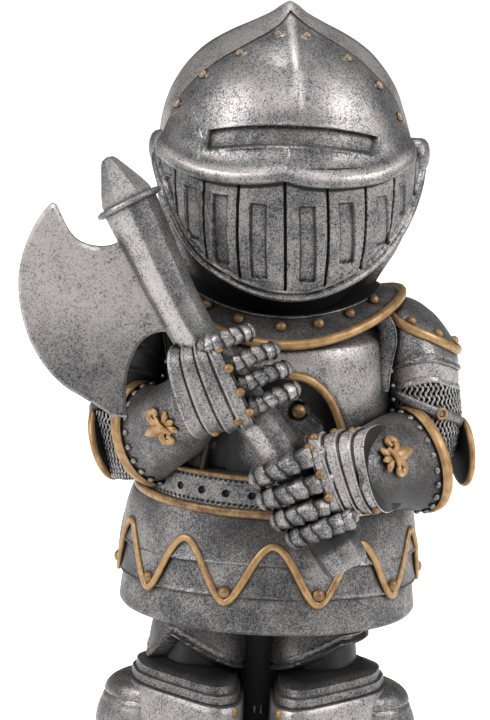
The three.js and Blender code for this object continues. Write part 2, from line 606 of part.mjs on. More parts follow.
function meshOf(name, solid, finish, lift = 0, scale = 1) {
  const { vertProperties, triVerts } = solid.getMesh();
  const geometry = new THREE.BufferGeometry();
  geometry.setAttribute('position', new THREE.BufferAttribute(Float32Array.from(vertProperties), 3));
  geometry.setIndex(new THREE.BufferAttribute(Uint32Array.from(triVerts), 1));
  geometry.scale(scale, scale, scale).translate(0, 0, lift);
  const mesh = new THREE.Mesh(geometry, finish);
  mesh.name = name;
  return mesh;
}

function plinthSolid(radius) {
  const foot = radius + plinthFootStep;
  const profile = [[0, 0], [foot, 0], [foot, plinthFootDepth - 0.8], [foot - 0.8, plinthFootDepth],
    [radius, plinthFootDepth + 0.8], [radius, plinthHeight - plinthTopRound]];
  for (const turn of spread(0, 90, 4).slice(1)) {
    profile.push([radius - plinthTopRound * (1 - Math.cos(turn * degrees)),
      plinthHeight - plinthTopRound * (1 - Math.sin(turn * degrees))]);
  }
  profile.push([0, plinthHeight]);
  return solidOf(turned(profile, plinthSides));
}

const legs = [leg(-1), leg(1)];
const lilies = [
  lily([25.6, -25.6, 82.6], [0.35, -0.93, 0.05], [1, 0.4, 0.12]),
  lily([-22.8, -25.4, 87.4], [-0.45, -0.88, 0.1], [-0.9, 0.4, -0.5]),
];
const figure = withoutPockets(joined([helmet(), trunk(), rightHandArm(), leftHandArm(), axe(),
  ...lilies, ...legs.map(({ solid }) => solid), legWeb()]));
const feetReach = Math.max(...legs.map(({ reach }) => reach)) * part;

const paintedSilver = new THREE.MeshStandardMaterial({ color: 0x7d7c7e, roughness: 0.45, metalness: 0.7 });
const darkSilver = new THREE.MeshStandardMaterial({ color: 0x4c4b4e, roughness: 0.55, metalness: 0.6 });

const knightFigurine = new THREE.Group();
knightFigurine.add(meshOf('knight', figure, paintedSilver, plinthHeight, part));
knightFigurine.add(meshOf('plinth', plinthSolid(feetReach + plinthMargin), darkSilver));

export default knightFigurine;
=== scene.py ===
import math

import bpy
import numpy as np
from mathutils import Matrix, Vector
from mathutils.geometry import tessellate_polygon


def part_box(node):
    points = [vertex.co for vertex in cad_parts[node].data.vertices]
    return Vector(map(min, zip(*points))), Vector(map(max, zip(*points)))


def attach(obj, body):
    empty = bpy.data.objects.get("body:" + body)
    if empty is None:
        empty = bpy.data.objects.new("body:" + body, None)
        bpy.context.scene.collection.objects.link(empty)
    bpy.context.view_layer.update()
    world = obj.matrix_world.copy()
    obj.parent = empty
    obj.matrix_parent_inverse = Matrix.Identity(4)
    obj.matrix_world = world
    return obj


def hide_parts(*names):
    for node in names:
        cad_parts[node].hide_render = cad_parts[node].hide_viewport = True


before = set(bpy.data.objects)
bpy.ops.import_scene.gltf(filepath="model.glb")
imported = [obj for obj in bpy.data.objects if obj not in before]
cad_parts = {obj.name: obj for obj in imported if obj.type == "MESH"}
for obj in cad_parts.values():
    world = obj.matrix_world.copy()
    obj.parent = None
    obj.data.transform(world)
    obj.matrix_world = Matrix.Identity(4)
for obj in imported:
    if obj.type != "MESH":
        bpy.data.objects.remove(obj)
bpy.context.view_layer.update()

# The figure is drawn in parts of its own height, as in the CAD source: 172 parts from soles to point
SCULPT_PARTS = 172.0
knight_low, knight_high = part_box("knight")
PART = (knight_high.z - knight_low.z) / SCULPT_PARTS
SOLES = knight_low.z
MM = 0.001

VISOR_RISE = 0.75
GROOVE_HALF = 0.34
WINDOW_HALF = 1.65
WAVES = 10
WAVE_TOP, WAVE_BOTTOM, WAVE_PHASE = 63.4, 51.2, 1.5
HEM = 45.0
LEG_MIDDLE = -1.6
BELT_LOW, BELT_HIGH = 70.2, 77.4
PLINTH_STEP, PLINTH_FOOT, PLINTH_ROUND = 1.6, 3.2, 1.4

SILVER, GOLD, DARK = 0, 1, 2


def metres(points):
    """Figure parts to metres in the shared frame."""
    placed = np.asarray(points, float).reshape(-1, 3) * PART
    placed[:, 2] += SOLES
    return placed


def new_object(name, data):
    """An object in the scene that holds this mesh, lamp or camera."""
    made = bpy.data.objects.new(name, data)
    bpy.context.scene.collection.objects.link(made)
    return made


def unit(rows):
    """A vector or rows of vectors, each made one long."""
    rows = np.asarray(rows, float)
    return rows / np.maximum(np.linalg.norm(rows, axis=-1, keepdims=True), 1e-12)


def flowing(knots, values, at):
    """A smooth line through values at knots, read at other places."""
    knots, values, at = (np.asarray(item, float) for item in (knots, values, at))
    slopes = np.gradient(values, knots, axis=0)
    step = np.clip(np.searchsorted(knots, at) - 1, 0, len(knots) - 2)
    gap = knots[step + 1] - knots[step]
    share = np.clip((at - knots[step]) / gap, 0, 1)
    if values.ndim > 1:
        gap, share = gap[..., None], share[..., None]
    first, last = values[step], values[step + 1]
    square, cube = share**2, share**3
    return ((2 * cube - 3 * square + 1) * first + (cube - 2 * square + share) * gap * slopes[step]
            + (3 * square - 2 * cube) * last + (cube - square) * gap * slopes[step + 1])


def run_of(points):
    """How far along a line each of its points lies."""
    return np.concatenate([[0], np.cumsum(np.linalg.norm(np.diff(points, axis=0), axis=1))])


def along_line(points, count):
    """Evenly spaced points on a smooth line through a few."""
    points = np.asarray(points, float)
    length = run_of(points)
    return flowing(length, points, np.linspace(0, length[-1], count))


def read_table(table, count):
    """The columns of a short table, read smoothly at this many evenly spaced rows."""
    return flowing(np.arange(len(table)), table, np.linspace(0, len(table) - 1, count)).T


def bearings_round(count):
    """Bearings in degrees all the way round, from the back by way of the front."""
    return np.linspace(-180, 180, count, endpoint=False)


def angles_round(count):
    """Angles once round, in radians."""
    return np.linspace(0, 2 * np.pi, count, endpoint=False)


def boxier(wave, power):
    """A sine or cosine raised to a power with its sign kept. Below 1 it makes an oval boxier."""
    return np.sign(wave) * np.abs(wave) ** power


def soft_step(distance, softness):
    """0 well below zero, 1 well above it, and a smooth rise between."""
    share = np.clip(distance / (2 * softness) + 0.5, 0, 1)
    return share * share * (3 - 2 * share)


def swell(distance, half_width):
    """A rounded ridge, 1 on its line and 0 from half_width outwards."""
    return np.clip(1 - (distance / half_width) ** 2, 0, 1) ** 1.5


def hill(distance, width):
    """A soft mound, 1 in its middle."""
    return np.exp(-(distance / width) ** 2)


def with_painted_shade(wash_and_painted_light, *shades):
    """A black paint amount with more painted shade laid over it, one layer after another."""
    for wash_and_light in shades:
        wash_and_painted_light = wash_and_painted_light * (1 - wash_and_light) + wash_and_light
    return wash_and_painted_light


class Form:
    """Closed shells of one piece, gathered as points, faces and a finish for each face."""

    def __init__(self):
        self.points, self.faces, self.finishes, self.wash_and_painted_light, self.count = [], [], [], [], 0

    def add(self, points, faces, finish, wash_and_painted_light):
        """One closed shell. Each point carries its black paint and painted shade, up to 1, and below 0 a
        painted highlight.
        """
        points = np.asarray(points, float).reshape(-1, 3)
        corners = [points[[face[i] for face in faces]] for i in range(3)]
        if np.einsum("ij,ij->i", corners[0], np.cross(corners[1], corners[2])).sum() < 0:
            faces = [face[::-1] for face in faces]
        self.points.append(points)
        self.faces += [tuple(int(corner) + self.count for corner in face) for face in faces]
        self.finishes += np.broadcast_to(finish, len(faces)).tolist()
        self.wash_and_painted_light.append(np.broadcast_to(wash_and_painted_light, len(points)))
        self.count += len(points)

    def skin(self, rings, finish=SILVER, loop=False, wash_and_painted_light=0.0):
        """Rings of points joined into a closed tube, or into a ring of its own."""
        rings = np.asarray(rings, float)
        steps, sides = rings.shape[:2]
        wash_and_painted_light = np.broadcast_to(wash_and_painted_light, (steps, sides)).ravel()
        here = np.arange(steps * sides).reshape(steps, sides)
        after = np.roll(here, -1, axis=1)
        above = np.roll(here, -1, axis=0) if loop else here[1:]
        low = here if loop else here[:-1]
        turned = after if loop else after[:-1]
        ahead = np.roll(after, -1, axis=0) if loop else after[1:]
        faces = np.stack([low, turned, ahead, above], axis=-1).reshape(-1, 4).tolist()
        points = rings.reshape(-1, 3)
        if not loop:
            first, last = len(points), len(points) + 1
            points = np.vstack([points, rings[0].mean(0), rings[-1].mean(0)])
            wash_and_painted_light = np.append(wash_and_painted_light, [wash_and_painted_light[0], wash_and_painted_light[-1]])
            faces += [[first, after[0, side], here[0, side]] for side in range(sides)]
            faces += [[last, here[-1, side], after[-1, side]] for side in range(sides)]
        self.add(points, faces, finish, wash_and_painted_light)

    def patch(self, grid, heart, wash_and_painted_light):
        """An open sheet of points whose border is closed to one point inside the body."""
        grid = np.asarray(grid, float)
        rows, columns = grid.shape[:2]
        here = np.arange(rows * columns).reshape(rows, columns)
        corners = [here[:-1, :-1], here[:-1, 1:], here[1:, 1:], here[1:, :-1]]
        faces = np.stack(corners, axis=-1).reshape(-1, 4).tolist()
        border = np.concatenate([here[0], here[1:, -1], here[-1, -2::-1], here[-2:0:-1, 0]]).tolist()
        points = np.vstack([grid.reshape(-1, 3), heart])
        inside = len(points) - 1
        faces += [[border[(i + 1) % len(border)], border[i], inside] for i in range(len(border))]
        self.add(points, faces, SILVER, np.append(np.broadcast_to(wash_and_painted_light, (rows, columns)).ravel(), 1.0))

    def tube(self, places, radius, finish, sides, flat=1.0, out=None, wash_and_painted_light=0.0):
        """A bar along places. Radius may change along and round it. Flat squeezes it along the way out."""
        places = np.asarray(places, float)
        radius = np.broadcast_to(np.asarray(radius, float).T, (sides, len(places))).T
        tangent = unit(np.gradient(places, axis=0))
        ahead = np.array([0, -1.0, 0]) if out is None else np.asarray(out, float)
        ahead = np.broadcast_to(ahead, tangent.shape)
        side = unit(np.cross(tangent, ahead))
        lift = unit(np.cross(side, tangent))
        angle = angles_round(sides)[:, None]
        wheel = side[:, None] * np.cos(angle) + flat * lift[:, None] * np.sin(angle)
        self.skin(places[:, None] + radius[..., None] * wheel, finish, wash_and_painted_light=wash_and_painted_light)

    def trim(self, places, outs, half_width, height, finish=GOLD, loop=False, taper=False, wash_and_painted_light=0.0):
        """A half-round band laid on a surface along places, each with its way out of the surface."""
        places, outs = np.asarray(places, float), unit(outs)
        if loop:
            tangent = unit(np.roll(places, -1, 0) - np.roll(places, 1, 0))
        else:
            tangent = unit(np.gradient(places, axis=0))
        side = unit(np.cross(tangent, outs))
        angle = angles_round(10)
        across = boxier(np.cos(angle), 0.8) * half_width
        deep = np.sin(angle) * height
        slim = np.ones(len(places))
        if taper:
            share = np.linspace(0, 1, len(places))
            slim = np.clip(np.minimum(share, 1 - share) * 12, 0.15, 1) ** 0.5
        rings = (places[:, None] + side[:, None] * (slim[:, None] * across[None])[..., None]
                 + outs[:, None] * (slim[:, None] * deep[None])[..., None])
        self.skin(rings, finish, loop, wash_and_painted_light)

    def turned(self, profile, place, direction, finish=SILVER, sides=28):
        """A turned form: pairs of radius and height about a place and direction."""
        direction = unit(direction)
        side = unit(np.cross(direction, (0.3, 0.2, 0.93)))
        lift = np.cross(direction, side)
        angle = angles_round(sides)[:, None]
        wheel = side * np.cos(angle) + lift * np.sin(angle)
        rings = [np.asarray(place) + wheel * radius + direction * height for radius, height in profile]
        self.skin(rings, finish)

    def ball(self, place, radius):
        """A small silver ball."""
        angle = np.linspace(0.05, np.pi - 0.05, 9)
        profile = np.column_stack([radius * np.sin(angle), -radius * np.cos(angle)])
        self.turned(profile, place, (0, 0, 1), SILVER, 16)

    def hoop(self, place, out, radius, wire):
        """A small gold ring that lies flat on a surface."""
        out = unit(out)
        side = unit(np.cross(out, (0.2, 0.1, 1)))
        lift = np.cross(out, side)
        turn, around = np.meshgrid(angles_round(24), angles_round(8), indexing="ij")
        turn, around = turn[..., None], around[..., None]
        wheel = side * np.cos(turn) + lift * np.sin(turn)
        rings = np.asarray(place) + (radius + wire * np.cos(around)) * wheel + out * (wire * np.sin(around))
        self.skin(rings, GOLD, loop=True)

    def piece(self, name, finishes, sharp=50, node="knight"):
        """The finished piece: a mesh in metres that rides on the casting's body."""
        mesh = bpy.data.meshes.new(name)
        mesh.from_pydata(metres(np.vstack(self.points)).tolist(), [], self.faces)
        for finish in finishes:
            mesh.materials.append(finish)
        mesh.polygons.foreach_set("material_index", self.finishes)
        mesh.polygons.foreach_set("use_smooth", [True] * len(mesh.polygons))
        mesh.set_sharp_from_angle(angle=math.radians(sharp))
        # each point's black paint, painted shade and painted highlight, which the paints read
        mesh.attributes.new("wash_and_painted_light", "FLOAT", "POINT").data.foreach_set("value", np.concatenate(self.wash_and_painted_light))
        mesh.update()
        stand_for(new_object(name, mesh), node)


def stand_for(made, node):
    """Hangs a finished piece on the root body in place of a CAD node, which it hides."""
    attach(made, "root")
    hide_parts(node)


class Rows:
    """An upright body: height, half width, reach to the front and back, and the middle of each row."""

    def __init__(self, *rows):
        table = np.array([(list(row) + [0.0])[:5] for row in rows], float)
        self.heights, self.shape = table[:, 0], table[:, 1:]

    def at(self, bearing, height, grow=0.0):
        """The place on the body and the way out of it. Bearing 0 is the front and grows towards +x."""
        values = (np.asarray(value, float) for value in (bearing, height, grow))
        bearing, height, grow = np.broadcast_arrays(*values)
        wide, front, back, middle = np.moveaxis(flowing(self.heights, self.shape, height), -1, 0)
        turn = np.radians(bearing)
        deep = np.where(np.cos(turn) > 0, front, back)
        place = np.stack([middle + (wide + grow) * np.sin(turn), -(deep + grow) * np.cos(turn), height], -1)
        out = np.stack([np.sin(turn) / wide, -np.cos(turn) / deep, np.zeros_like(wide)], -1)
        return place, unit(out)

    def facing(self, bearing, height, grow):
        """The same place with the surface's true way out, which leans where the body narrows."""
        bearing, height = np.asarray(bearing, float), np.asarray(height, float)
        rise = self.at(bearing, height + 0.3, grow)[0] - self.at(bearing, height - 0.3, grow)[0]
        around = self.at(bearing + 1, height, grow)[0] - self.at(bearing - 1, height, grow)[0]
        return self.at(bearing, height, grow)[0], unit(np.cross(around, rise))


# Paint
def add_node(tree, kind, settings=None, sockets=None):
    """A new node of a tree: its settings first, then the values or links of its sockets."""
    made = tree.nodes.new(kind)
    for key, value in (settings or {}).items():
        setattr(made, key, value)
    for key, value in (sockets or {}).items():
        if isinstance(value, bpy.types.NodeSocket):
            tree.links.new(value, made.inputs[key])
        else:
            made.inputs[key].default_value = value
    return made


class Value:
    """A shader socket that takes part in plain arithmetic."""

    def __init__(self, paint, socket):
        self.paint, self.socket = paint, socket

    def combined(self, other, operation, swapped=False):
        """This value and another under a maths node's operation."""
        first, second = (other, self) if swapped else (self, other)
        return self.paint.node("ShaderNodeMath", {"operation": operation}, {0: first, 1: second})

    def __add__(self, other):
        return self.combined(other, "ADD")

    def __sub__(self, other):
        return self.combined(other, "SUBTRACT")

    def __rsub__(self, other):
        return self.combined(other, "SUBTRACT", swapped=True)

    def __mul__(self, other):
        return self.combined(other, "MULTIPLY")

    __radd__, __rmul__ = __add__, __mul__

    def between(self, low, high):
        """0 at low, 1 at high, smooth and clamped between."""
        sockets = {"Value": self, "From Min": low, "From Max": high}
        return self.paint.node("ShaderNodeMapRange", {"interpolation_type": "SMOOTHSTEP"}, sockets)


class Paint:
    """One procedural finish on the casting."""

    def __init__(self, name):
        self.material = bpy.data.materials.new(name)
        self.material.use_nodes = True
        self.tree = self.material.node_tree
        self.tree.nodes.clear()

    def node(self, kind, settings=None, sockets=None, out=0):
        """A shader node whose sockets take values, and one of its outputs as a value."""
        plain = {key: value.socket if isinstance(value, Value) else value
                 for key, value in (sockets or {}).items()}
        made = add_node(self.tree, kind, settings, plain)
        return Value(self, made.outputs[out]) if made.outputs else None

    def grain(self, size_mm, detail, roughness, offset=0.0):
        """Noise with grains of about this size, centred on a half."""
        if not hasattr(self, "place"):
            self.place = self.node("ShaderNodeTexCoord", out=3)
        where = self.place
        if offset:
            shift = (offset, -offset, offset)
            where = self.node("ShaderNodeMapping", None, {"Vector": where, "Location": shift})
        sockets = {"Vector": where, "Scale": 1.0 / (size_mm * MM), "Detail": detail, "Roughness": roughness}
        return self.node("ShaderNodeTexNoise", None, sockets)

    def recess(self, reach_mm):
        """1 on open surfaces and falling towards 0 in recesses."""
        settings = {"samples": 6, "only_local": False}
        return self.node("ShaderNodeAmbientOcclusion", settings, {"Distance": reach_mm * MM}, out=1)

    def wash_and_painted_light(self):
        """How much black paint and painted shade the piece's own points ask for, and below 0 how much
        painted highlight.
        """
        return self.node("ShaderNodeAttribute", {"attribute_name": "wash_and_painted_light"}, out=2)

    def sharpness(self):
        """About a half on even surfaces, more on raised edges and less in creases."""
        return self.node("ShaderNodeNewGeometry", out=7)

    def blend(self, share, first, second):
        return self.node("ShaderNodeMix", {"data_type": "RGBA"}, {0: share, 6: first, 7: second}, out=2)

    def surface(self, sockets):
        """The material of a shader with these sockets."""
        shader = self.node("ShaderNodeBsdfPrincipled", None, sockets)
        self.node("ShaderNodeOutputMaterial", None, {"Surface": shader})
        return self.material

    def finish(self, colour, metallic, roughness, relief, height_mm):
        sockets = {"Height": relief, "Distance": height_mm * MM, "Strength": 1.0}
        bump = self.node("ShaderNodeBump", None, sockets)
        return self.surface({"Base Color": colour, "Metallic": metallic, "Roughness": roughness,
                             "Normal": bump, "Specular IOR Level": 0.5})


def tone(red, green, blue, shade=1.0):
    """A colour, darkened by its shade."""
    return red * shade, green * shade, blue * shade, 1


def silver_paint(name, shade=1.0):
    """Silver stippled and dry-brushed over black: black stays in recesses, bright metal on raised edges.
    Points that ask for it get painted shade, and below 0 a painted highlight that lightens the silver.
    """
    paint = Paint(name)
    stipple = paint.grain(0.32, 2.0, 0.6)
    fleck = paint.grain(0.7, 3.0, 0.7, offset=0.013)
    cloud = paint.grain(6.0, 3.0, 0.6, offset=0.031)
    open_near = paint.recess(1.4).between(0.25, 0.95)
    open_far = paint.recess(6.0).between(0.1, 0.85)
    edge = paint.sharpness().between(0.52, 0.7)
    wash_and_light = paint.wash_and_painted_light()
    # painted highlight: how much the points ask to be lightened
    highlight_amount = (0.0 - wash_and_light).between(0.0, 1.0)
    cover = open_near * (0.38 + 0.62 * open_far) * (1.0 - wash_and_light.between(0.0, 1.0))
    speckle = 1.9 * (stipple - 0.5) + 0.9 * (fleck - 0.5) + 0.8 * (cloud - 0.5)
    brushed = cover * (0.58 + speckle + 0.12 * highlight_amount) + edge * 0.2 * cover
    silver = paint.blend(cloud.between(0.38, 0.62), tone(0.262, 0.26, 0.268, shade),
                         tone(0.33, 0.312, 0.3, shade))
    # painted highlight: lightened towards a pale warm silver
    warm = paint.blend(highlight_amount, silver, tone(0.54, 0.505, 0.49, shade))
    bright = paint.blend(edge * cover * 0.7, warm, tone(0.62, 0.6, 0.59, shade))
    colour = paint.blend(brushed.between(0.05, 0.9), tone(0.014, 0.013, 0.013), bright)
    metallic = 0.3 + 0.5 * brushed.between(0.1, 0.5) - 0.3 * highlight_amount
    roughness = 0.5 - 0.12 * brushed.between(0.3, 0.9)
    relief = stipple * 0.6 + fleck * 0.4
    return paint.finish(colour, metallic, roughness, relief, 0.05)


def gold_paint(name, shade=1.0, worn=0.0):
    """Satin gold brushed on raised trims, with black showing through, darkened by painted shade where the
    points ask for it, and worn towards plain silver.
    """
    paint = Paint(name)
    stipple = paint.grain(0.5, 2.5, 0.6, offset=0.007)
    streak = paint.grain(2.2, 3.0, 0.6, offset=0.019)
    open_near = paint.recess(0.8).between(0.1, 0.8)
    edge = paint.sharpness().between(0.52, 0.68)
    # the points' painted shade darkens the gold
    cover = open_near * (1.0 + 1.0 * (stipple - 0.5) + 1.0 * (streak - 0.5)) * (1.0 - paint.wash_and_painted_light())
    warm = paint.blend(streak.between(0.35, 0.65), tone(0.33, 0.185, 0.075, shade),
                       tone(0.46, 0.285, 0.13, shade))
    warm = paint.blend(worn, warm, tone(0.3, 0.28, 0.26))
    lit = paint.blend(edge * 0.5, warm, tone(0.75, 0.5, 0.27, shade))
    colour = paint.blend(cover.between(0.1, 1.05), tone(0.02, 0.012, 0.006), lit)
    roughness = 0.48 - 0.12 * streak
    return paint.finish(colour, 0.3 + 0.2 * cover, roughness, stipple * 0.5 + streak * 0.5, 0.12)


def undercoat_and_shade(name):
    """Bare black undercoat where the brush never reached, also laid between the legs as painted shade."""
    paint = Paint(name)
    stipple = paint.grain(0.6, 3.0, 0.65)
    colour = paint.blend(stipple.between(0.55, 0.8), tone(0.004, 0.004, 0.005), tone(0.035, 0.034, 0.036))
    return paint.finish(colour, 0.1 + 0.2 * stipple, 0.6 + 0.15 * stipple, stipple, 0.06)


silver = silver_paint("knight_silver_paint")
gold = gold_paint("knight_gold_paint")
rivet_gold = gold_paint("knight_rivet_paint", 0.66)
worn_gold = gold_paint("knight_worn_rivet_paint", 0.62, 0.45)
plinth_silver = silver_paint("plinth_dark_silver_paint", 0.6)
dark = undercoat_and_shade("knight_black_undercoat_and_shade")
FINISHES = (silver, gold, dark)


# Camera, lights and floor
CAMERA_DISTANCE, CAMERA_RISE, CAMERA_ROLL = 1.0, math.radians(12), math.radians(2.4)
CAMERA_AIM = Vector((-0.007, 0.0, 0.1055))
CAMERA_LENS, SENSOR = 240.4, 36.0


def place_camera():
    back = Vector((0, -math.cos(CAMERA_RISE), math.sin(CAMERA_RISE)))
    level_right = Vector((1, 0, 0))
    level_up = back.cross(level_right)
    right = math.cos(CAMERA_ROLL) * level_right + math.sin(CAMERA_ROLL) * level_up
    up = math.cos(CAMERA_ROLL) * level_up - math.sin(CAMERA_ROLL) * level_right
    camera = new_object("camera", bpy.data.cameras.new("camera"))
    camera.data.lens, camera.data.sensor_width = CAMERA_LENS, SENSOR
    camera.data.clip_start, camera.data.clip_end = 0.05, 30
    turned = Matrix((right, up, back)).transposed().to_4x4()
    camera.matrix_world = Matrix.Translation(CAMERA_AIM + back * CAMERA_DISTANCE) @ turned
    bpy.context.scene.camera = camera


def soft_light(name, place, aim, size, watts):
    lamp = bpy.data.lights.new(name, "AREA")
    lamp.shape, lamp.size, lamp.energy = "DISK", size, watts
    made = new_object(name, lamp)
    made.location = place
    made.rotation_euler = (Vector(aim) - Vector(place)).to_track_quat("-Z", "Y").to_euler()


def plain_floor():
    """White paper whose emission paints a glow behind the figure and a soft painted shade in front of it.
    """
    half = 6.0
    mesh = bpy.data.meshes.new("floor")
    corners = [(-half, -half, 0), (half, -half, 0), (half, half, 0), (-half, half, 0)]
    mesh.from_pydata(corners, [], [(0, 1, 2, 3)])
    paint = Paint("floor_paper")
    mottle = paint.grain(60.0, 1.0, 0.5)
    white = paint.blend(mottle, tone(0.78, 0.78, 0.78), tone(0.82, 0.82, 0.82))
    # painted light: the paper glows bright behind the figure and dark in front of it
    depth = paint.node("ShaderNodeSeparateXYZ", None, {"Vector": paint.place}, out=1)
    lit = depth.between(-0.45, -0.3) * 0.35 + depth.between(-0.1, 0.12) * 0.65
    glow = paint.blend(lit, tone(0.03, 0.03, 0.03), tone(0.98, 0.98, 0.98))
    mesh.materials.append(paint.surface({"Base Color": white, "Roughness": 0.9, "Specular IOR Level": 0.1,
                                         "Emission Color": glow, "Emission Strength": 0.85}))
    new_object("floor", mesh)


def studio():
    world = bpy.data.worlds.new("studio")
    world.use_nodes = True
    background = world.node_tree.nodes["Background"]
    background.inputs[0].default_value = (1, 1, 1, 1)
    background.inputs[1].default_value = 0.14
    bpy.context.scene.world = world
    bpy.context.scene.view_settings.view_transform = "Standard"
    chest = (0, 0, 0.1)
    soft_light("left_softbox", (-0.83, -0.48, 0.65), chest, 0.8, 9)
    soft_light("right_softbox", (0.91, -0.3, 0.65), chest, 0.8, 9)
    soft_light("top_softbox", (0.0, 0.1, 1.2), chest, 0.5, 5)
    soft_light("front_softbox", (0.0, -0.75, 0.95), chest, 0.5, 2.6)


place_camera()
plain_floor()
studio()


# Helmet
skull_rows = Rows(
    (104, 15.5, 16, 18), (114.3, 19.4, 21.5, 22.5), (121, 23.3, 24.6, 25.6), (130, 26.3, 26.9, 27.9),
    (137, 26.8, 27.4, 28.4, -0.2), (144, 26, 27, 27.8, -0.6), (150, 24.6, 26, 26.4, -1),
    (155, 22.6, 24.2, 24.4, -1), (159, 19.9, 21.6, 21.6, -1), (162.5, 16.4, 18.2, 18, -0.9),
    (165.3, 12, 13.6, 13.2, -0.8), (167.6, 7.4, 8.8, 8.2, -0.8), (169.7, 3.6, 4.4, 4, -0.8),
    (171.3, 1.5, 1.6, 1.6, -0.8), (172, 0.3, 0.3, 0.3, -0.8))
guard_rows = Rows((110, 18.6, 24.8, 21), (112, 20, 25.6, 22), (118, 23, 27.6, 24.8),
                  (126, 26.1, 29.2, 26.8), (134, 27.5, 30.1, 28), (142, 27.8, 30.3, 28),
                  (146, 27.8, 30.3, 28))
HEAD_MIDDLE = (0, 0, 140)
# Drawn lines of the helmet, by bearing and height
RIM_LINE = ((-90, 141), (-80, 139.5), (-72, 136.4), (-65.7, 132.9), (-58.6, 128.3), (-53.3, 125),
            (-48.4, 122.4), (-42.8, 120.3), (-36, 118.7), (-29.8, 117.5), (-21.9, 116.2), (-11.5, 115),
            (0, 114.4), (14.6, 114.7), (25, 115.6), (36, 117.2), (46, 119.3), (54, 121.9), (61, 124.8),
            (67, 127.8), (73, 131.2), (79, 135), (84, 138.5), (90, 141.5))
VISOR_EDGE = ((-84, 142.4), (-76, 143.8), (-70, 146.6), (-65.1, 152.2), (-55.4, 158.6), (-41.2, 163.6),
              (-20.3, 167.6), (0, 170), (15, 169.6), (30.5, 168.2), (44, 166), (54.7, 163.2), (63.7, 158.6),
              (72, 153.2), (78.3, 147), (84, 143.4))
BROW_LINE = ((-84, 142.4), (-74, 141.9), (-63.8, 141.3), (-55.4, 140.4), (-45.6, 139.4), (-34.8, 138.7),
             (-21.2, 138.5), (-10.9, 138.95), (-4, 139.5), (-0.5, 139.8), (3, 139.4), (8, 138.9),
             (15.1, 138.6), (25.8, 138.65), (40.1, 139.2), (51.7, 140.4), (62.9, 141.8), (74, 142.6),
             (84, 143))
VISOR_RIVETS = ((-12.8, 166.7), (-36.7, 163), (-52.7, 158.2), (-62, 151.8), (20.8, 166.6), (45.8, 162.6),
                (59.2, 157.2), (68.1, 150.6))
# The guard's grooves and windows: their bearings at the brow and at the chin, and the windows' heights
GROOVES = ((-69, -67), (-54.8, -53.6), (-37.3, -39.2), (-20.7, -22), (-0.7, 1.2), (17.4, 21.6),
           (35.3, 40.5), (51.8, 54.6), (70.5, 71))
WINDOWS = ((-60, -59, 137, 131.5), (-44.5, -45.2, 136.4, 125.7), (-29, -30.6, 135.7, 121.4),
           (-11.9, -12, 134.7, 119.3), (8.6, 12.1, 134.7, 119), (25.7, 30.6, 135.3, 122.7),
           (43.9, 50, 136.1, 125.7), (57.7, 61.1, 137.4, 131.4))
GUARD_TOP, GUARD_CHIN = 136.0, 118.0
VISOR_END, GUARD_END = 84, 90
# A degree's width on the helmet, and the eye slot's two ends, height, half height and rounding
HEAD_DEGREE = 0.45
SLOT_SIDES = (-36.2, 43.2)
SLOT_HEIGHT, SLOT_HALF, SLOT_ROUND = 148.5, 1.6, 0.35


def read_line(line, at):
    """The height of a drawn line at bearings."""
    bearings, heights = np.array(line, float).T
    return flowing(bearings, heights, at)


def visor_line(line, bearing):
    """The same for a line that ends with the visor and stays level beyond it."""
    return read_line(line, np.clip(bearing, -VISOR_END, VISOR_END))


def rim_height(bearing):
    """The face guard's lower edge, a round line from the pivots down to the chin."""
    return read_line(RIM_LINE, bearing)


def slot_bend(bearing):
    """How far the eye slot's line sinks below its highest place."""
    return 2.45 * ((bearing - 3) / 40) ** 2


def skull(form):
    """The helmet's bowl with its low back comb, the seam and the neck plate behind."""
    length = run_of(np.column_stack([skull_rows.shape[:, 0], skull_rows.heights]))
    heights = flowing(length, skull_rows.heights, np.linspace(0, 1, 110) * length[-1])
    turn, high = np.meshgrid(bearings_round(168), heights)
    side = np.abs(turn)
    back_keel = 0.7 * np.clip(1 - (180 - side) * HEAD_DEGREE / 2.6, 0, 1) * soft_step(high - 146, 6)
    seam = -0.3 * swell(high - 131.5 - 0.0006 * (180 - side) ** 2, 0.5) * soft_step(side - 100, 4)
    neck_plate = 0.7 * soft_step(118 - high, 0.4) * soft_step(side - 96, 3)
    front = soft_step(86 - side, 3)
    under_visor = soft_step(visor_line(VISOR_EDGE, turn) - 1.2 - high, 0.5)
    under_guard = soft_step(rim_height(np.clip(turn, -GUARD_END, GUARD_END)) + 3 - high, 1.5)
    grow = (back_keel + seam + neck_plate) * np.clip((172 - high) / 4, 0, 1)
    grow -= front * (0.9 * under_visor + 3.5 * under_guard)
    # Painted highlight on the front of the bowl above the visor, and painted shade on the neck under the
    # face guard.
    painted_highlight = -0.58 * front * (1 - under_visor) * soft_step(high - 141, 2)
    form.skin(skull_rows.at(turn, high, grow)[0], wash_and_painted_light=front * under_guard + painted_highlight)


def beside_slot(turn, high):
    """How far places on the visor lie outside the eye slot, and how far above its middle line."""
    above = high - SLOT_HEIGHT + slot_bend(turn)
    lean = 1.25 * above * (turn > 0)
    left, right = SLOT_SIDES
    from_middle = np.abs(turn - lean - (left + right) / 2)
    along = (from_middle - (right - left) / 2) * HEAD_DEGREE + SLOT_ROUND
    over = np.abs(above) - SLOT_HALF
    outside = np.hypot(np.maximum(along, 0), np.maximum(over, 0)) - SLOT_ROUND
    return outside + np.minimum(np.maximum(along, over), 0), above


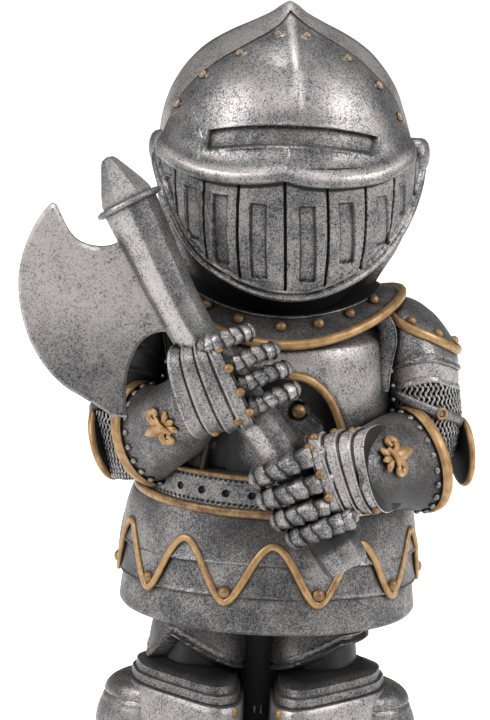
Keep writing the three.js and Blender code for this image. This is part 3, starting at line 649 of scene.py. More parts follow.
def visor(form):
    """The visor plate and its rolled brow, one sheet with the eye slot sunk in it."""
    bearings = np.linspace(-VISOR_END, VISOR_END, 321)
    brow = read_line(BROW_LINE, bearings)
    edge = read_line(VISOR_EDGE, bearings)
    ends = (0.75 + 0.25 * (bearings < 0)) * soft_step(np.abs(bearings) - 71, 11)
    brow_out = (3.3 + 1.5 * np.cos(np.radians(bearings)) ** 2) * (1 - ends)
    # The rolled brow's section: height over the brow's line, and share of its reach outwards
    roll = ((0.9, 0.1), (0.35, 0.45), (0.0, 0.72), (0.15, 0.9), (0.7, 0.98), (1.5, 1.0), (2.3, 0.97),
            (2.9, 0.86), (3.5, 0.7), (4.3, 0.54), (5.3, 0.42), (6.4, 0.33))
    roll_lift, roll_out = read_table(roll, 30)
    shrink = np.clip((edge - brow - 0.9) / 7.5, 0.06, 1)
    low = brow[None] + roll_lift[:, None] * shrink[None]
    low_grow = brow_out[None] * roll_out[:, None]
    share = np.linspace(0, 1, 112)[1:, None]
    start = low[-1]
    high = start[None] + (edge - start)[None] * share
    settle = soft_step(share - 0.12, 0.12)
    top_thin = np.clip((172.4 - high) / 5, 0.35, 1)
    thin = top_thin * (1 - 0.45 * soft_step(high - edge + 1.4, 0.9))
    high_grow = (low_grow[-1][None] * (1 - settle) + VISOR_RISE * settle) * thin
    turn = np.broadcast_to(bearings, high.shape)
    x = skull_rows.at(turn, high)[0][..., 0]
    off_keel = x + 0.8 - 1.8 * np.clip((170 - high) / 10, 0, 1)
    keel = (0.6 * hill(off_keel, 1.1) + 0.5 * hill(off_keel, 3.4)) * soft_step(high - 154, 7)
    keel *= np.clip((171.5 - high) / 2, 0, 1)
    hollow = -0.4 * swell(high - 143.9 + slot_bend(turn), 2.6) * soft_step(44 - np.abs(turn), 14)
    crease = 0.3 * swell(x + 0.4, 0.6) * soft_step(144.6 - high, 0.6)
    rivet_beds = sum(-0.3 * swell(np.hypot((turn - b) * 0.016 * (172.5 - z), (high - z) * 1.5) - 0.95, 0.5)
                     for b, z in VISOR_RIVETS)
    high_grow = high_grow + keel + hollow + crease + rivet_beds
    low_x = skull_rows.at(np.broadcast_to(bearings, low.shape), low)[0][..., 0] + 0.4
    low_grow = low_grow + 0.3 * swell(low_x, 0.6) * soft_step(low - brow[None] - 2.4, 0.8)
    border = edge[None] + np.array([[0.0], [0.08], [0.4], [0.45]])
    border_grow = np.array([[0.4], [0.14], [0.08], [-1.2]]) + 0 * border
    heights = np.vstack([low, high, border])
    grows = np.vstack([low_grow, high_grow, border_grow])
    turns = np.broadcast_to(bearings, heights.shape)
    outside, above = beside_slot(turns, heights)
    grows += 0.2 * swell(outside - 0.32, 0.36) * (0.5 + 0.5 * soft_step(-above, 1))
    grows -= 1.3 * soft_step(-outside - 0.1, 0.18)
    # Painted highlights: two soft sheens either side of the keel and a lighter middle, over the visor above
    # the eye slot.
    sheen = hill(np.abs(turns - 2) - 27, 13) * hill(heights - 155, 7)
    painted_highlight = -(0.12 + 0.42 * sheen + 0.25 * hill(turns, 13)) * soft_step(58 - np.abs(turns), 12)
    painted_highlight *= soft_step(heights - 147.5, 2)
    # painted shade in the eye slot
    wash_and_painted_light = 0.35 * soft_step(-outside, 0.2) + painted_highlight * soft_step(outside - 0.1, 0.2)
    # painted highlight along the brow's roll
    lip = -0.9 * swell(heights - brow - 2.3, 1.5) * soft_step(62 - np.abs(turns), 14)
    wash_and_painted_light = wash_and_painted_light + lip * (0.6 + 0.4 * soft_step(np.abs(turns + 1) - 5, 3))
    # painted highlight down the keel; black along the visor's edge
    wash_and_painted_light[len(low):-4] -= 0.9 * hill(off_keel, 0.7) * soft_step(high - 157, 4)
    wash_and_painted_light[len(low):-4] += 0.9 * soft_step(high - edge + 0.4, 0.15)
    wash_and_painted_light[-4:] = 0.95
    form.patch(skull_rows.at(turns, heights, grows)[0], HEAD_MIDDLE, wash_and_painted_light)


def face_guard(form):
    """The barred face guard: panels with sunk windows between black grooves, and a doubled rim."""
    bearings = np.linspace(-GUARD_END, GUARD_END, 501)
    rim = rim_height(bearings)
    top = np.maximum(142.5, rim + 1.5)
    share = np.linspace(0, 1, 96)[:, None]
    high = rim[None] + (top - rim)[None] * share
    turn = np.broadcast_to(bearings, high.shape)
    degree = np.pi / 180 * flowing(guard_rows.heights, guard_rows.shape, high)[..., 0]
    rim_slope = np.gradient(rim, bearings) / 0.47
    above_rim = (high - rim[None]) * np.cos(np.arctan(rim_slope))[None]
    grow, wash_and_painted_light = np.zeros_like(high), np.zeros_like(high)
    fallen = (GUARD_TOP - high) / (GUARD_TOP - GUARD_CHIN)
    for top_bearing, chin_bearing in GROOVES:
        off = (turn - top_bearing - (chin_bearing - top_bearing) * fallen) * degree
        groove = swell(off, GROOVE_HALF) * soft_step(above_rim - 2.6, 0.4)
        grow -= 0.9 * groove
        wash_and_painted_light = np.maximum(wash_and_painted_light, groove)
    for top_bearing, chin_bearing, head, foot in WINDOWS:
        fallen_here = (head - high) / (head - foot)
        off = (turn - top_bearing - (chin_bearing - top_bearing) * fallen_here) * degree
        half = WINDOW_HALF * (1 if abs(top_bearing) < 50 else 0.75)
        box = np.max([np.abs(off) - half, 2.9 - above_rim, foot - high, high - head], axis=0)
        grow -= (0.75 if abs(top_bearing) < 40 else 0.4) * soft_step(-box, 0.16)
        grow += 0.12 * swell(box - 0.35, 0.4)
        edge = soft_step(-box, 0.15) * soft_step(0.3 + box, 0.25)
        wash_and_painted_light = np.maximum(wash_and_painted_light, 0.2 * soft_step(-box, 0.2) + 0.45 * edge)
    # painted shadow of the brow along the top of the guard
    wash_and_painted_light = np.maximum(wash_and_painted_light, 0.95 * soft_step(high - visor_line(BROW_LINE, turn) + 0.85, 0.12))
    broad = 1 + 0.35 * soft_step(turn - 25, 14)
    grow += 1.05 * swell(above_rim - 0.75 * broad, 0.95 * broad)
    grow += 0.55 * swell(above_rim - 2.15 * broad, 0.5)
    grow -= 1.1 * (1 - soft_step(above_rim - 0.1, 0.12)) + 1.0 * soft_step(-turn - 79, 5)
    grid = guard_rows.at(turn, high, grow)[0]
    under = guard_rows.at(bearings, rim + 0.2, -2.2)[0]
    form.patch(np.vstack([under[None], grid]), HEAD_MIDDLE, np.vstack([wash_and_painted_light[:1], wash_and_painted_light]))


def pivots(form):
    """The round heads that the visor hangs on."""
    profile = ((0.2, -3), (3.5, -3), (3.6, 0.9), (3.4, 1.6), (2.8, 2.2), (1.8, 2.6), (0.8, 2.75),
               (0.1, 2.8))
    form.turned(profile, (-25.7, -3.4, 141.2), (-1, -0.2, 0))
    form.turned(profile, (26.3, -4, 141.8), (1, -0.2, 0))


# Rivets, studs and mail, set in rows along the armour
class Pattern:
    """A tree that sets one small shape on every point of a piece, leant to the surface there."""

    def __init__(self, name):
        self.tree = bpy.data.node_groups.new(name, "GeometryNodeTree")
        for label, way in (("Geometry", "INPUT"), ("Geometry", "OUTPUT")):
            self.tree.interface.new_socket(label, in_out=way, socket_type="NodeSocketGeometry")
        self.start = add_node(self.tree, "NodeGroupInput")

    def take_amount(self, label):
        """A number that each use of the pattern gives."""
        asked = self.tree.interface.new_socket(label, in_out="INPUT", socket_type="NodeSocketFloat")
        self.amount = asked.identifier
        return self.start.outputs[label]

    def made_by(self, kind, sockets, settings=None):
        """What a new node of the tree gives."""
        return add_node(self.tree, kind, settings, sockets).outputs[0]

    def named(self, name, kind):
        return self.made_by("GeometryNodeInputNamedAttribute", {"Name": name}, {"data_type": kind})

    def set_on_points(self, shape):
        """Instances of the shape, turned by the points' own out and along, made real and painted."""
        out, along = self.named("out", "FLOAT_VECTOR"), self.named("along", "FLOAT_VECTOR")
        smooth = self.made_by("GeometryNodeSetShadeSmooth", {"Geometry": shape})
        leant = self.made_by("FunctionNodeAlignRotationToVector", {"Vector": out}, {"axis": "Z"})
        turned = self.made_by("FunctionNodeAlignRotationToVector", {"Rotation": leant, "Vector": along},
                              {"axis": "X", "pivot_axis": "Z"})
        placed = self.made_by("GeometryNodeInstanceOnPoints", {
            "Points": self.start.outputs[0], "Instance": smooth, "Rotation": turned,
            "Scale": self.named("size", "FLOAT")})
        real = self.made_by("GeometryNodeRealizeInstances", {"Geometry": placed})
        self.painted = add_node(self.tree, "GeometryNodeSetMaterial", None, {"Geometry": real})
        add_node(self.tree, "NodeGroupOutput", None, {"Geometry": self.painted.outputs[0]})
        return self


def dome_pattern():
    """A low rivet head: a ball that is pressed flatter by the pattern's amount."""
    pattern = Pattern("rivet_heads")
    ball = pattern.made_by("GeometryNodeMeshUVSphere", {"Segments": 12, "Rings": 8, "Radius": 1.0})
    scale = pattern.made_by("ShaderNodeCombineXYZ", {"X": 1.0, "Y": 1.0, "Z": pattern.take_amount("Rise")})
    pressed = pattern.made_by("GeometryNodeTransform", {"Geometry": ball, "Scale": scale})
    return pattern.set_on_points(pressed)


def link_pattern():
    """A mail link: a small round ring of wire."""
    pattern = Pattern("mail_links")
    circle, by_radius = "GeometryNodeCurvePrimitiveCircle", {"mode": "RADIUS"}
    ring = pattern.made_by(circle, {"Resolution": 8, "Radius": 1.0}, by_radius)
    wire = pattern.made_by(circle, {"Resolution": 4, "Radius": pattern.take_amount("Wire")}, by_radius)
    link = pattern.made_by("GeometryNodeCurveToMesh", {"Curve": ring, "Profile Curve": wire})
    return pattern.set_on_points(link)


DOMES, LINKS = dome_pattern(), link_pattern()


def set_in_rows(name, pattern, amount, spots, finish):
    """A piece made by a pattern from spots: each a place, a way out, a size and a way along."""
    places, outs, sizes, alongs = (np.array(item, float) for item in zip(*spots))
    mesh = bpy.data.meshes.new(name + "_spots")
    mesh.from_pydata(metres(places).tolist(), [], [])
    for label, values in (("out", unit(outs)), ("along", unit(alongs))):
        mesh.attributes.new(label, "FLOAT_VECTOR", "POINT").data.foreach_set("vector", values.ravel())
    mesh.attributes.new("size", "FLOAT", "POINT").data.foreach_set("value", sizes * PART)
    seed = new_object(name + "_seed", mesh)
    pattern.painted.inputs["Material"].default_value = finish
    rows = seed.modifiers.new("rows", "NODES")
    rows.node_group = pattern.tree
    rows[pattern.amount] = amount
    bpy.context.view_layer.update()
    seen = seed.evaluated_get(bpy.context.evaluated_depsgraph_get())
    plain = bpy.data.meshes.new_from_object(seen)
    seed.modifiers.clear()
    bpy.data.objects.remove(seed)
    stand_for(new_object(name, plain), "knight")


def spot(place, out, size, along=(0.1, 0.2, 1)):
    """A place for a pattern's shape, with its way out, its size and its way along."""
    return np.ravel(place), np.ravel(out), size, along


def spots_on(rows, bearings, heights, grow, size):
    """Rivet spots on an upright body at bearings and heights."""
    return [spot(place, out, size) for place, out in zip(*rows.facing(bearings, heights, grow))]


helmet = Form()
skull(helmet)
visor(helmet)
pivots(helmet)
helmet.piece("helmet", FINISHES)
guard = Form()
face_guard(guard)
guard.piece("face_guard", FINISHES)

visor_spots = spots_on(skull_rows, *zip(*VISOR_RIVETS), VISOR_RISE - 0.05, 0.92)
visor_spots += [spot((28.4, -4.9, 140.9), (1, -0.4, 0), 0.6)]
gold_spots = []


# Trunk: breast and back plates, the gorget, the belt and the skirt
trunk_rows = Rows((58, 27, 25.5, 24.5), (70, 27.6, 26.4, 25.2), (78, 26.4, 25.6, 24.4),
                  (90, 25, 25.4, 23.8), (98, 24.6, 25.3, 23.6), (104, 23.2, 24.2, 22.6),
                  (109, 20, 20.8, 20), (112, 17, 18, 18))
skirt_rows = Rows((45, 31, 28.3, 27.6, -0.4), (53, 30.2, 27.5, 26.8, -0.4), (60, 29.9, 27.2, 26.6, -0.4),
                  (66, 29, 26.8, 26.2, -0.4), (70.5, 27.6, 26, 25.4, -0.3))
# The chest's arch and the plate in it, by bearing and height, and how wide a degree is in each place
ARCH = ((0, 99.1), (7.5, 98.9), (12.3, 98.5), (19.5, 96.6), (25.8, 93.4), (29.2, 90.4), (31.8, 87),
        (33.4, 82), (34, 74))
ARCH_PLATE = ((0, 94.6), (10.2, 94.3), (13.1, 93.7), (14.8, 92), (16.4, 90.5), (20, 89), (23.1, 88.3),
              (23.6, 74))
ARCH_STUD = (10.4, 91.5)
CHEST_DEGREE, SIDE_DEGREE, BELT_DEGREE = 0.443, 0.42, 0.46
HOLE_BEARING, HOLE_SPACING, HOLE_HEIGHT, HOLE_RADIUS = -20.8, 11.6, 73.8, 0.62
STITCH_LENGTH = 1.15
FAULD_TOP = 70.4


def line_distance(x, y, line):
    """How far places lie from a drawn line."""
    nearest = np.full(np.shape(x), 1e9)
    for (x0, y0), (x1, y1) in zip(line[:-1], line[1:]):
        dx, dy = x1 - x0, y1 - y0
        share = np.clip(((x - x0) * dx + (y - y0) * dy) / (dx * dx + dy * dy), 0, 1)
        nearest = np.minimum(nearest, np.hypot(x - x0 - share * dx, y - y0 - share * dy))
    return nearest


def within_arch(turn, high, line):
    """Distance inside an arched line on the chest, negative outside it."""
    bearings, heights = np.array(line).T
    top = np.interp(np.abs(turn), bearings, heights, right=0)
    drawn = list(zip(bearings * CHEST_DEGREE, heights))
    return np.where(high < top, 1, -1) * line_distance(np.abs(turn) * CHEST_DEGREE, high, drawn)


def cuirass(form):
    """Breast and back plate in one, with the sunk arch and its plate on the chest."""
    turn, high = np.meshgrid(bearings_round(300), np.linspace(66, 109, 126))
    arch = within_arch(turn, high, ARCH)
    plate = within_arch(turn, high, ARCH_PLATE)
    sunk = soft_step(arch - 0.2, 0.35)
    on_plate = soft_step(plate, 0.3)
    grow = -1.9 * sunk + 1.1 * on_plate + 0.3 * swell(plate - 0.35, 0.4) + 0.22 * swell(arch + 1.9, 0.4)
    socket = np.hypot((turn - ARCH_STUD[0]) * CHEST_DEGREE, high - ARCH_STUD[1])
    grow -= 0.8 * soft_step(2.0 - socket, 0.3)
    side = np.abs(turn)
    past_seam = (side - 77 + 0.9 * np.clip(high - 100, -8, 8) ** 2 / 12) * SIDE_DEGREE
    grow -= 1.6 * soft_step(high - 105, 1.2)
    grow -= 0.6 * soft_step(past_seam - 0.5, 0.4) * soft_step(98 - side, 3)
    middle_line = swell((180 - side) * SIDE_DEGREE, 0.5)
    back_seam = swell(high - 90 - 3 * np.cos(np.radians(side) * 3), 0.45)
    grow -= 0.4 * soft_step(side - 100, 4) * (middle_line + back_seam)
    # painted highlight on the upper chest
    painted_highlight = -0.5 * soft_step(high - 91, 3) * soft_step(60 - side, 8) * (1 - sunk)
    wash_and_painted_light = np.maximum(sunk * (1 - on_plate), soft_step(2.2 - socket, 0.3)) + painted_highlight
    # painted shade under the arms, under the left hand, over the belt, behind the blade and under the
    # gorget
    under_arms = 0.85 * soft_step(past_seam - 0.7, 0.8) * soft_step(100 - side, 6)
    under_hand = 0.75 * soft_step(89 - high, 3) * soft_step(-14 - turn, 6) * soft_step(turn + 62, 6)
    over_belt = 0.6 * soft_step(80 - high, 3) * soft_step(30 - side, 8)
    behind_blade = soft_step(-34 - turn, 5) * soft_step(turn + 84, 5)
    behind_blade *= soft_step(high - 84, 4) * soft_step(108 - high, 3)
    under_gorget = soft_step(high - 106, 0.8)
    wash_and_painted_light = with_painted_shade(wash_and_painted_light, under_arms, under_hand, over_belt, behind_blade, under_gorget)
    form.skin(trunk_rows.at(turn, high, grow)[0], wash_and_painted_light=wash_and_painted_light)


def gorget_low(bearing):
    """The height of the collar's lower edge, which rises over the shoulders."""
    return 105.2 + 7.2 * np.sin(np.radians(bearing)) ** 2


def gorget_high(bearing):
    return 110.2 + 3.4 * np.sin(np.radians(bearing)) ** 2


def collar_place(bearing, reach, height):
    """A place on a round collar, out to its reach."""
    turn = np.radians(bearing)
    return np.stack([reach * np.sin(turn), -reach * np.cos(turn), height + 0 * turn], -1)


def gorget(form, trims):
    """The collar plate with its gold rim, darkened across its upper part and black inside as painted shade
    under the helmet. The profile is shares of its height, and reach.
    """
    bearings = bearings_round(200)
    low, high = gorget_low(bearings), gorget_high(bearings)
    profile = ((-0.5, 19), (-0.22, 23.4), (-0.05, 24.9), (0.1, 24.4), (0.25, 23.4), (0.42, 22.2),
               (0.6, 21.2), (0.78, 20.4), (0.86, 20.15), (0.9, 20.35), (0.95, 20.5), (1.0, 20.35),
               (1.02, 19.9), (1.0, 19), (0.8, 16), (0.5, 14))
    share, reach = read_table(profile, 46)
    rings = [collar_place(bearings, r, low + (high - low) * s) for s, r in zip(share, reach)]
    # painted shade: dark across the collar under the helmet, black inside
    black = 0.5 * soft_step(share - 0.42, 0.25) * soft_step(0.9 - share, 0.03)
    black[35:] = 1
    form.skin(rings, wash_and_painted_light=black[:, None])
    rim = collar_place(bearings, 24.9, low)
    trims.trim(rim, collar_place(bearings, 1.0, 0.12), half_width=1.05, height=1.0, loop=True)


def armhole(form):
    """The breastplate's turned edge and its studs, in front of each arm."""
    edge = ((22.2, -12.2, 109.4), (23.4, -12.6, 107.1), (23.8, -12.8, 104.4), (23.3, -13.2, 101.2),
            (22.8, -13.4, 98), (22.6, -13.2, 94))
    for way in (-1, 1):
        line = along_line([(way * x, y, z) for x, y, z in edge], 40)
        # the left edge and its flange are painted black as shade behind the blade
        shaded = 0.0 if way > 0 else 1.0
        out, inside = (np.tile(row, (40, 1)) for row in ((way * 0.5, -0.85, 0), (-way * 0.3, -0.95, 0)))
        form.trim(line, out, 0.24, 0.3, SILVER, taper=True, wash_and_painted_light=shaded)
        form.trim(line + (-way * 1.7, 0.55, 0), inside, 1.8, 0.4, SILVER, wash_and_painted_light=shaded)
        for x, y, z in ((23.1, -13.2, 98.3), (23.6, -13, 95.2), (23.8, -12.6, 92.2)):
            form.ball((way * x, y, z), 0.45)


def scallop(bearing):
    """The height of the fauld's waved lower edge."""
    wave = 0.5 + 0.5 * np.cos(np.radians((bearing - WAVE_PHASE) * WAVES))
    return WAVE_BOTTOM + (WAVE_TOP - WAVE_BOTTOM) * wave ** 0.85


def belt(form, trims):
    """The belt with two rows of stitches, punched holes and a gold bead along each edge."""
    rise = np.concatenate([np.linspace(-1.5, 0.9, 5), np.linspace(1.1, 6.1, 34), np.linspace(6.3, 8.2, 5)])
    turn, high = np.meshgrid(bearings_round(600), BELT_LOW + rise)
    grow = np.full(high.shape, 0.55)
    grow[0] = grow[-1] = -1.5
    stitch = swell(((turn * BELT_DEGREE / STITCH_LENGTH) % 1 - 0.5) * STITCH_LENGTH, 0.38)
    seams = swell(high - BELT_LOW - 1.45, 0.42) + swell(BELT_HIGH - 0.85 - high, 0.4)
    grow -= 0.45 * stitch * seams
    spacing = (turn - HOLE_BEARING) / HOLE_SPACING
    across_hole = (spacing - np.round(spacing)) * HOLE_SPACING * BELT_DEGREE
    hole = np.hypot(across_hole, high - HOLE_HEIGHT)
    grow -= 1.0 * soft_step(HOLE_RADIUS - hole, 0.2)
    wash_and_painted_light = np.clip(soft_step(HOLE_RADIUS + 0.18 - hole, 0.15) + stitch * seams * 1.2, 0, 1)
    form.skin(trunk_rows.at(turn, high, grow)[0], wash_and_painted_light=wash_and_painted_light)
    ring = bearings_round(260)
    for height, half, grow in ((BELT_LOW, 0.95, 0.9), (BELT_HIGH, 0.6, 0.7)):
        place, out = trunk_rows.at(ring, height, grow)
        # painted shade on the gold beads, deeper in front under the hands
        shaded = 0.2 + 0.25 * soft_step(ring + 50, 12) * soft_step(30 - ring, 12)
        trims.trim(place, out, half_width=half, height=0.65, loop=True, wash_and_painted_light=shaded[:, None])


def skirt(form):
    """Three lames, each over the one below, with painted shade under each lame's edge and over the lowest
    lame, and the hollow under the hem painted black as shade.
    """
    heights = np.concatenate([[HEM + 4, HEM + 0.6], np.linspace(HEM, 70, 96)])
    turn, high = np.meshgrid(bearings_round(240), heights)
    grow = np.zeros(high.shape)
    sag = 1.4 * np.sin(np.radians(turn)) ** 2 * np.cos(np.radians(turn / 2))
    lames = HEM + 7.75 - sag, 59.5 - sag
    for edge in lames:
        above = high - edge
        grow += 0.75 * soft_step(above, 0.12) * np.exp(-np.clip(above, 0, 9) / 5)
        grow += 0.18 * swell(above - 0.35, 0.3)
    grow -= 0.5 * (1 - soft_step(high - HEM - 0.35, 0.4))
    grow[0], grow[1] = -5.5, -3.4
    # painted shade: the lowest lame darker, the hem's hollow black, a shadow under each lame's edge
    wash_and_painted_light = 0.3 * soft_step(59 - high, 1)
    wash_and_painted_light[:2] = 1
    for edge in lames:
        wash_and_painted_light = np.maximum(wash_and_painted_light, 0.5 * swell(edge - 0.25 - high, 0.5))
    form.skin(skirt_rows.at(turn, high, grow)[0], wash_and_painted_light=wash_and_painted_light)


def fauld(form, trims):
    """The scalloped plate over the lames and its gold wave."""
    bearings = bearings_round(600)
    low = scallop(bearings)
    high = low + (FAULD_TOP - low) * np.linspace(0, 1, 28)[:, None]
    turn = np.broadcast_to(bearings, high.shape)
    settle = soft_step(70.6 - high, 1.5)
    plate = skirt_rows.at(turn, high, 0.75 * settle + 0.15)[0]
    under = skirt_rows.at(bearings, low, -1.5)[0]
    edge = skirt_rows.at(bearings, low, 0.6)[0]
    # painted shade on the plate's upper part under the hands
    near_hand = soft_step(turn + 30, 14) * soft_step(52 - turn, 12)
    wash_and_painted_light = 0.1 + 0.45 * soft_step(high - 61, 5) * near_hand
    form.skin(np.concatenate([under[None], edge[None], plate]), wash_and_painted_light=np.vstack([0 * wash_and_painted_light[:2], wash_and_painted_light]))
    place, out = skirt_rows.at(bearings, low + 0.35, 0.95)
    trims.trim(place, out, half_width=0.78, height=0.55, loop=True)


trunk = Form()
trims = Form()
cuirass(trunk)
gorget(trunk, trims)
armhole(trunk)
trunk.piece("trunk", FINISHES)
below_waist = Form()
belt(below_waist, trims)
skirt(below_waist)
fauld(below_waist, trims)
below_waist.piece("belt_and_skirt", FINISHES)

arch_line = along_line([(-bearing, height) for bearing, height in ARCH[:0:-1]] + list(ARCH), 90)
# the arch's left side painted dark as shade under the left hand
arch_shade = 0.97 * soft_step(-arch_line[:, :1] - 14, 5)
trims.trim(*trunk_rows.at(*arch_line.T, 0.15), half_width=0.85, height=0.75, taper=True, wash_and_painted_light=arch_shade)

for bearing in (-66, -45, -24, 0, 21, 41, 62):
    rivet_height = (gorget_low(bearing) + gorget_high(bearing)) / 2 + 0.6
    place = collar_place(bearing, 21.4, rivet_height)
    gold_spots.append(spot(place, collar_place(bearing, 1.0, 0.7), 1.15))
gold_spots += spots_on(trunk_rows, [ARCH_STUD[0]], [ARCH_STUD[1]], -0.6, 1.45)
troughs = WAVE_PHASE + (np.arange(WAVES) + 0.5) * 360 / WAVES
gold_spots += spots_on(skirt_rows, troughs, np.full(WAVES, WAVE_BOTTOM + 2.5), 0.95, 1.35)


# Legs
def limb_table(stations, steps):
    """Smooth middles, half widths and half heights between a limb's stations."""
    table = np.array(stations, float).reshape(len(stations), 9)
    length = run_of(table[:, :3])
    share = np.linspace(0, 1, steps) if np.isscalar(steps) else np.asarray(steps)
    return flowing(length / length[-1], table, share)


def limb(stations, steps, sides, square=1.0, scale=1.0):
    """Rings of a limb from its stations: a middle, a half width and a half height as vectors."""
    middle, side, up = np.split(limb_table(stations, steps)[:, None], 3, axis=-1)
    angle = angles_round(sides)[:, None]
    across, rise = boxier(np.cos(angle), square), boxier(np.sin(angle), square)
    return middle + np.broadcast_to(scale, steps)[:, None, None] * (side * across + up * rise)


def raised(rings, height):
    """Closed rings moved out along the surface that they span."""
    along = np.gradient(rings, axis=0)
    around = np.roll(rings, -1, 1) - np.roll(rings, 1, 1)
    out = unit(np.cross(around, along))
    outward = np.sign(((rings - rings.mean(1, keepdims=True)) * out).sum(-1, keepdims=True))
    return rings + out * outward * np.asarray(height)[..., None]


def rounded(outline):
    """A closed outline with its corners cut back twice, to soft bends."""
    outline = np.asarray(outline, float)
    for _ in range(2):
        after = np.roll(outline, -1, 0)
        outline = np.stack([outline * 0.82 + after * 0.18, outline * 0.18 + after * 0.82], 1).reshape(-1, 2)
    return outline


def upright(way, rows):
    """A leg's level stations, from rows of place, half width and half depth."""
    return [((LEG_MIDDLE + way * x, y, z), (wide, 0, 0), (0, deep, 0)) for x, y, z, wide, deep in rows]


# The thigh plates' lower edges: distance out from between the legs, and height
KNEE_PEAKS = {-1: ((1.9, 31.8), (13.3, 37.9), (18, 40), (22.1, 34.2), (25.8, 29.5)),
              1: ((1.7, 31.6), (10.3, 36.3), (16.8, 39.5), (21.8, 39.6), (25.1, 36), (27, 33))}


def thigh(form, way):
    """A thigh plate that ends in a peaked edge over the hollow behind the knee cop; the hollow and the
    plate's outer side are painted dark as shade.
    """
    stations = upright(way, ((12, -1, HEM + 5, 8.6, 10), (12.4, -2, HEM - 3, 9.4, 12),
                             (12.8, -3, 34, 10, 13), (13, -4, 26, 9, 12)))
    rings = limb(stations, 110, 96, 0.85)
    across = way * (rings[..., 0] - LEG_MIDDLE)
    distance = (rings[..., 2] - np.interp(across, *np.array(KNEE_PEAKS[way]).T)) * 0.86
    grow = 0.5 * soft_step(distance, 0.12) - 2.2 * soft_step(-distance - 0.1, 0.3)
    for line, height, half in ((0.35, 0.3, 0.35), (1.15, -0.35, 0.35), (1.75, 0.25, 0.3)):
        grow += height * swell(distance - line, half)
    # painted shade in the hollow under the edge and down the outer side
    wash_and_painted_light = np.maximum(0.95 * soft_step(-distance - 0.3, 0.4), 0.5 * soft_step(across - 18.5, 3))
    form.skin(raised(rings, grow), wash_and_painted_light=wash_and_painted_light)


def knee(form, way):
    """A boxy knee cop of stepped plates, turned outwards."""
    plan = rounded([[25.4, -13.2], [8.6, -26.4], [3.4, -21.6], [3, -3], [10, 6], [22, 6], [27.4, -3]])
    middle = np.array([14, -6])
    levels = ((34.4, 0.3), (34.3, 0.6), (34.0, 0.64), (33.0, 0.78), (32.7, 0.84), (32.5, 0.88), (31.1, 0.9),
              (30.95, 0.92), (30.8, 0.95), (29.2, 0.965), (29.05, 0.95), (28.9, 1.01), (28.6, 1.03),
              (26.5, 1.04), (23, 1.05), (19, 1.06), (16.6, 1.03), (16.4, 1.0), (16.2, 1.03), (14.5, 0.98),
              (12.4, 0.9), (11.5, 0.8), (11.4, 0.4))
    # painted highlight on the cop's front plates, painted shade on its top under the thigh plate
    knee_light_at = ((12, 0), (14, -0.45), (28.8, -0.45), (29, 0.3), (32.6, 0.3), (33.2, 0.6), (33.9, 0.97))
    wash_and_painted_light = np.interp([height for height, _ in levels], *np.array(knee_light_at).T)
    rings = []
    for height, scale in levels:
        spread = middle + (plan - middle) * scale
        tilt = 0.06 * (spread[:, 0] - 14) * (height > 25)
        rings.append(np.column_stack([LEG_MIDDLE + way * spread[:, 0], spread[:, 1], height + tilt]))
    form.skin(rings, wash_and_painted_light=wash_and_painted_light[:, None])


def shin(form, way):
    """The shin and, round its outer side, the plate under the knee."""
    inner = upright(way, ((17, -5, 18, 12.6, 12.6), (17.6, -5.4, 11, 12, 12.4),
                          (17.4, -5.4, 6, 10.6, 11.4), (17.4, -5.4, 3, 10, 11)))
    form.skin(limb(inner, 30, 72))
    outer = upright(way, ((18, -4, 31, 4, 5), (19.4, -4, 29.4, 9, 9), (20.4, -4, 24, 12.2, 11),
                          (20.6, -4, 17, 12.8, 11.6), (19.6, -4, 11, 11, 11)))
    rings = limb(outer, 60, 80)
    height = rings[..., 2]
    form.skin(raised(rings, -0.35 * swell(height - 25.6, 0.5) - 0.35 * swell(height - 15.5, 0.5)))


def foot(form, way):
    """A pointed foot of overlapping plates."""
    ahead = unit((way * 0.4, -0.92, 0))
    across = np.array([-ahead[1], ahead[0], 0])
    heel = np.array([LEG_MIDDLE + way * 13, 8.6, 0])
    angle = np.linspace(-0.25, np.pi + 0.25, 41)[:, None]
    sideways, rise = boxier(np.cos(angle), 0.8), np.maximum(np.sin(angle), 0) ** 0.85
    reach = np.linspace(0, 38.6, 120)
    places = [0, 3, 14, 20, 26, 31, 36, 38.6]
    wide = np.interp(reach, places, [6.4, 8.8, 10.2, 10.7, 10.3, 8, 3.8, 1])
    high = np.interp(reach, places, [8.4, 10.4, 11, 9.4, 7.2, 5.3, 3.4, 2.2])
    for edge in (14, 20, 25.5, 30.5, 34.5):
        step = 0.4 * soft_step(edge - reach, 0.15) * np.exp(-np.clip(edge - reach, 0, 9) / 2.5)
        wide, high = wide + step, high + step
    up = np.array([0, 0, 1])
    form.skin([heel + ahead * r + across * (sideways * w) + up * (rise * h)
               for r, w, h in zip(reach, wide, high)])


def leg_web(form):
    """The web that joins the legs, black as painted shade, with two thin ribs down its front that carry a
    little painted highlight.
    """
    stations = [((LEG_MIDDLE, 0, z), (6.5 * share, 0, 0), (0, 7 * share, 0))
                for z, share in ((16, 0.4), (18.5, 0.8), (23, 1), (HEM + 5, 1))]
    # painted shade: a black form between the legs
    form.skin(limb(stations, 30, 40), DARK)
    for x in (-1.95, -0.6):
        rib = along_line([(x, -6.95, 22.5), (x, -7, 30), (x, -7, HEM + 1)], 20)
        # the ribs are lightened as a painted highlight
        form.tube(rib, 0.3, SILVER, 8, wash_and_painted_light=-0.3)


legs = Form()
leg_web(legs)
for way in (-1, 1):
    thigh(legs, way)
    knee(legs, way)
    shin(legs, way)
    foot(legs, way)
legs.piece("legs", FINISHES)
gold_spots += [spot((LEG_MIDDLE + way * 5, -22.9, 27), (-way * 0.8, -0.6, 0), 1.3) for way in (-1, 1)]


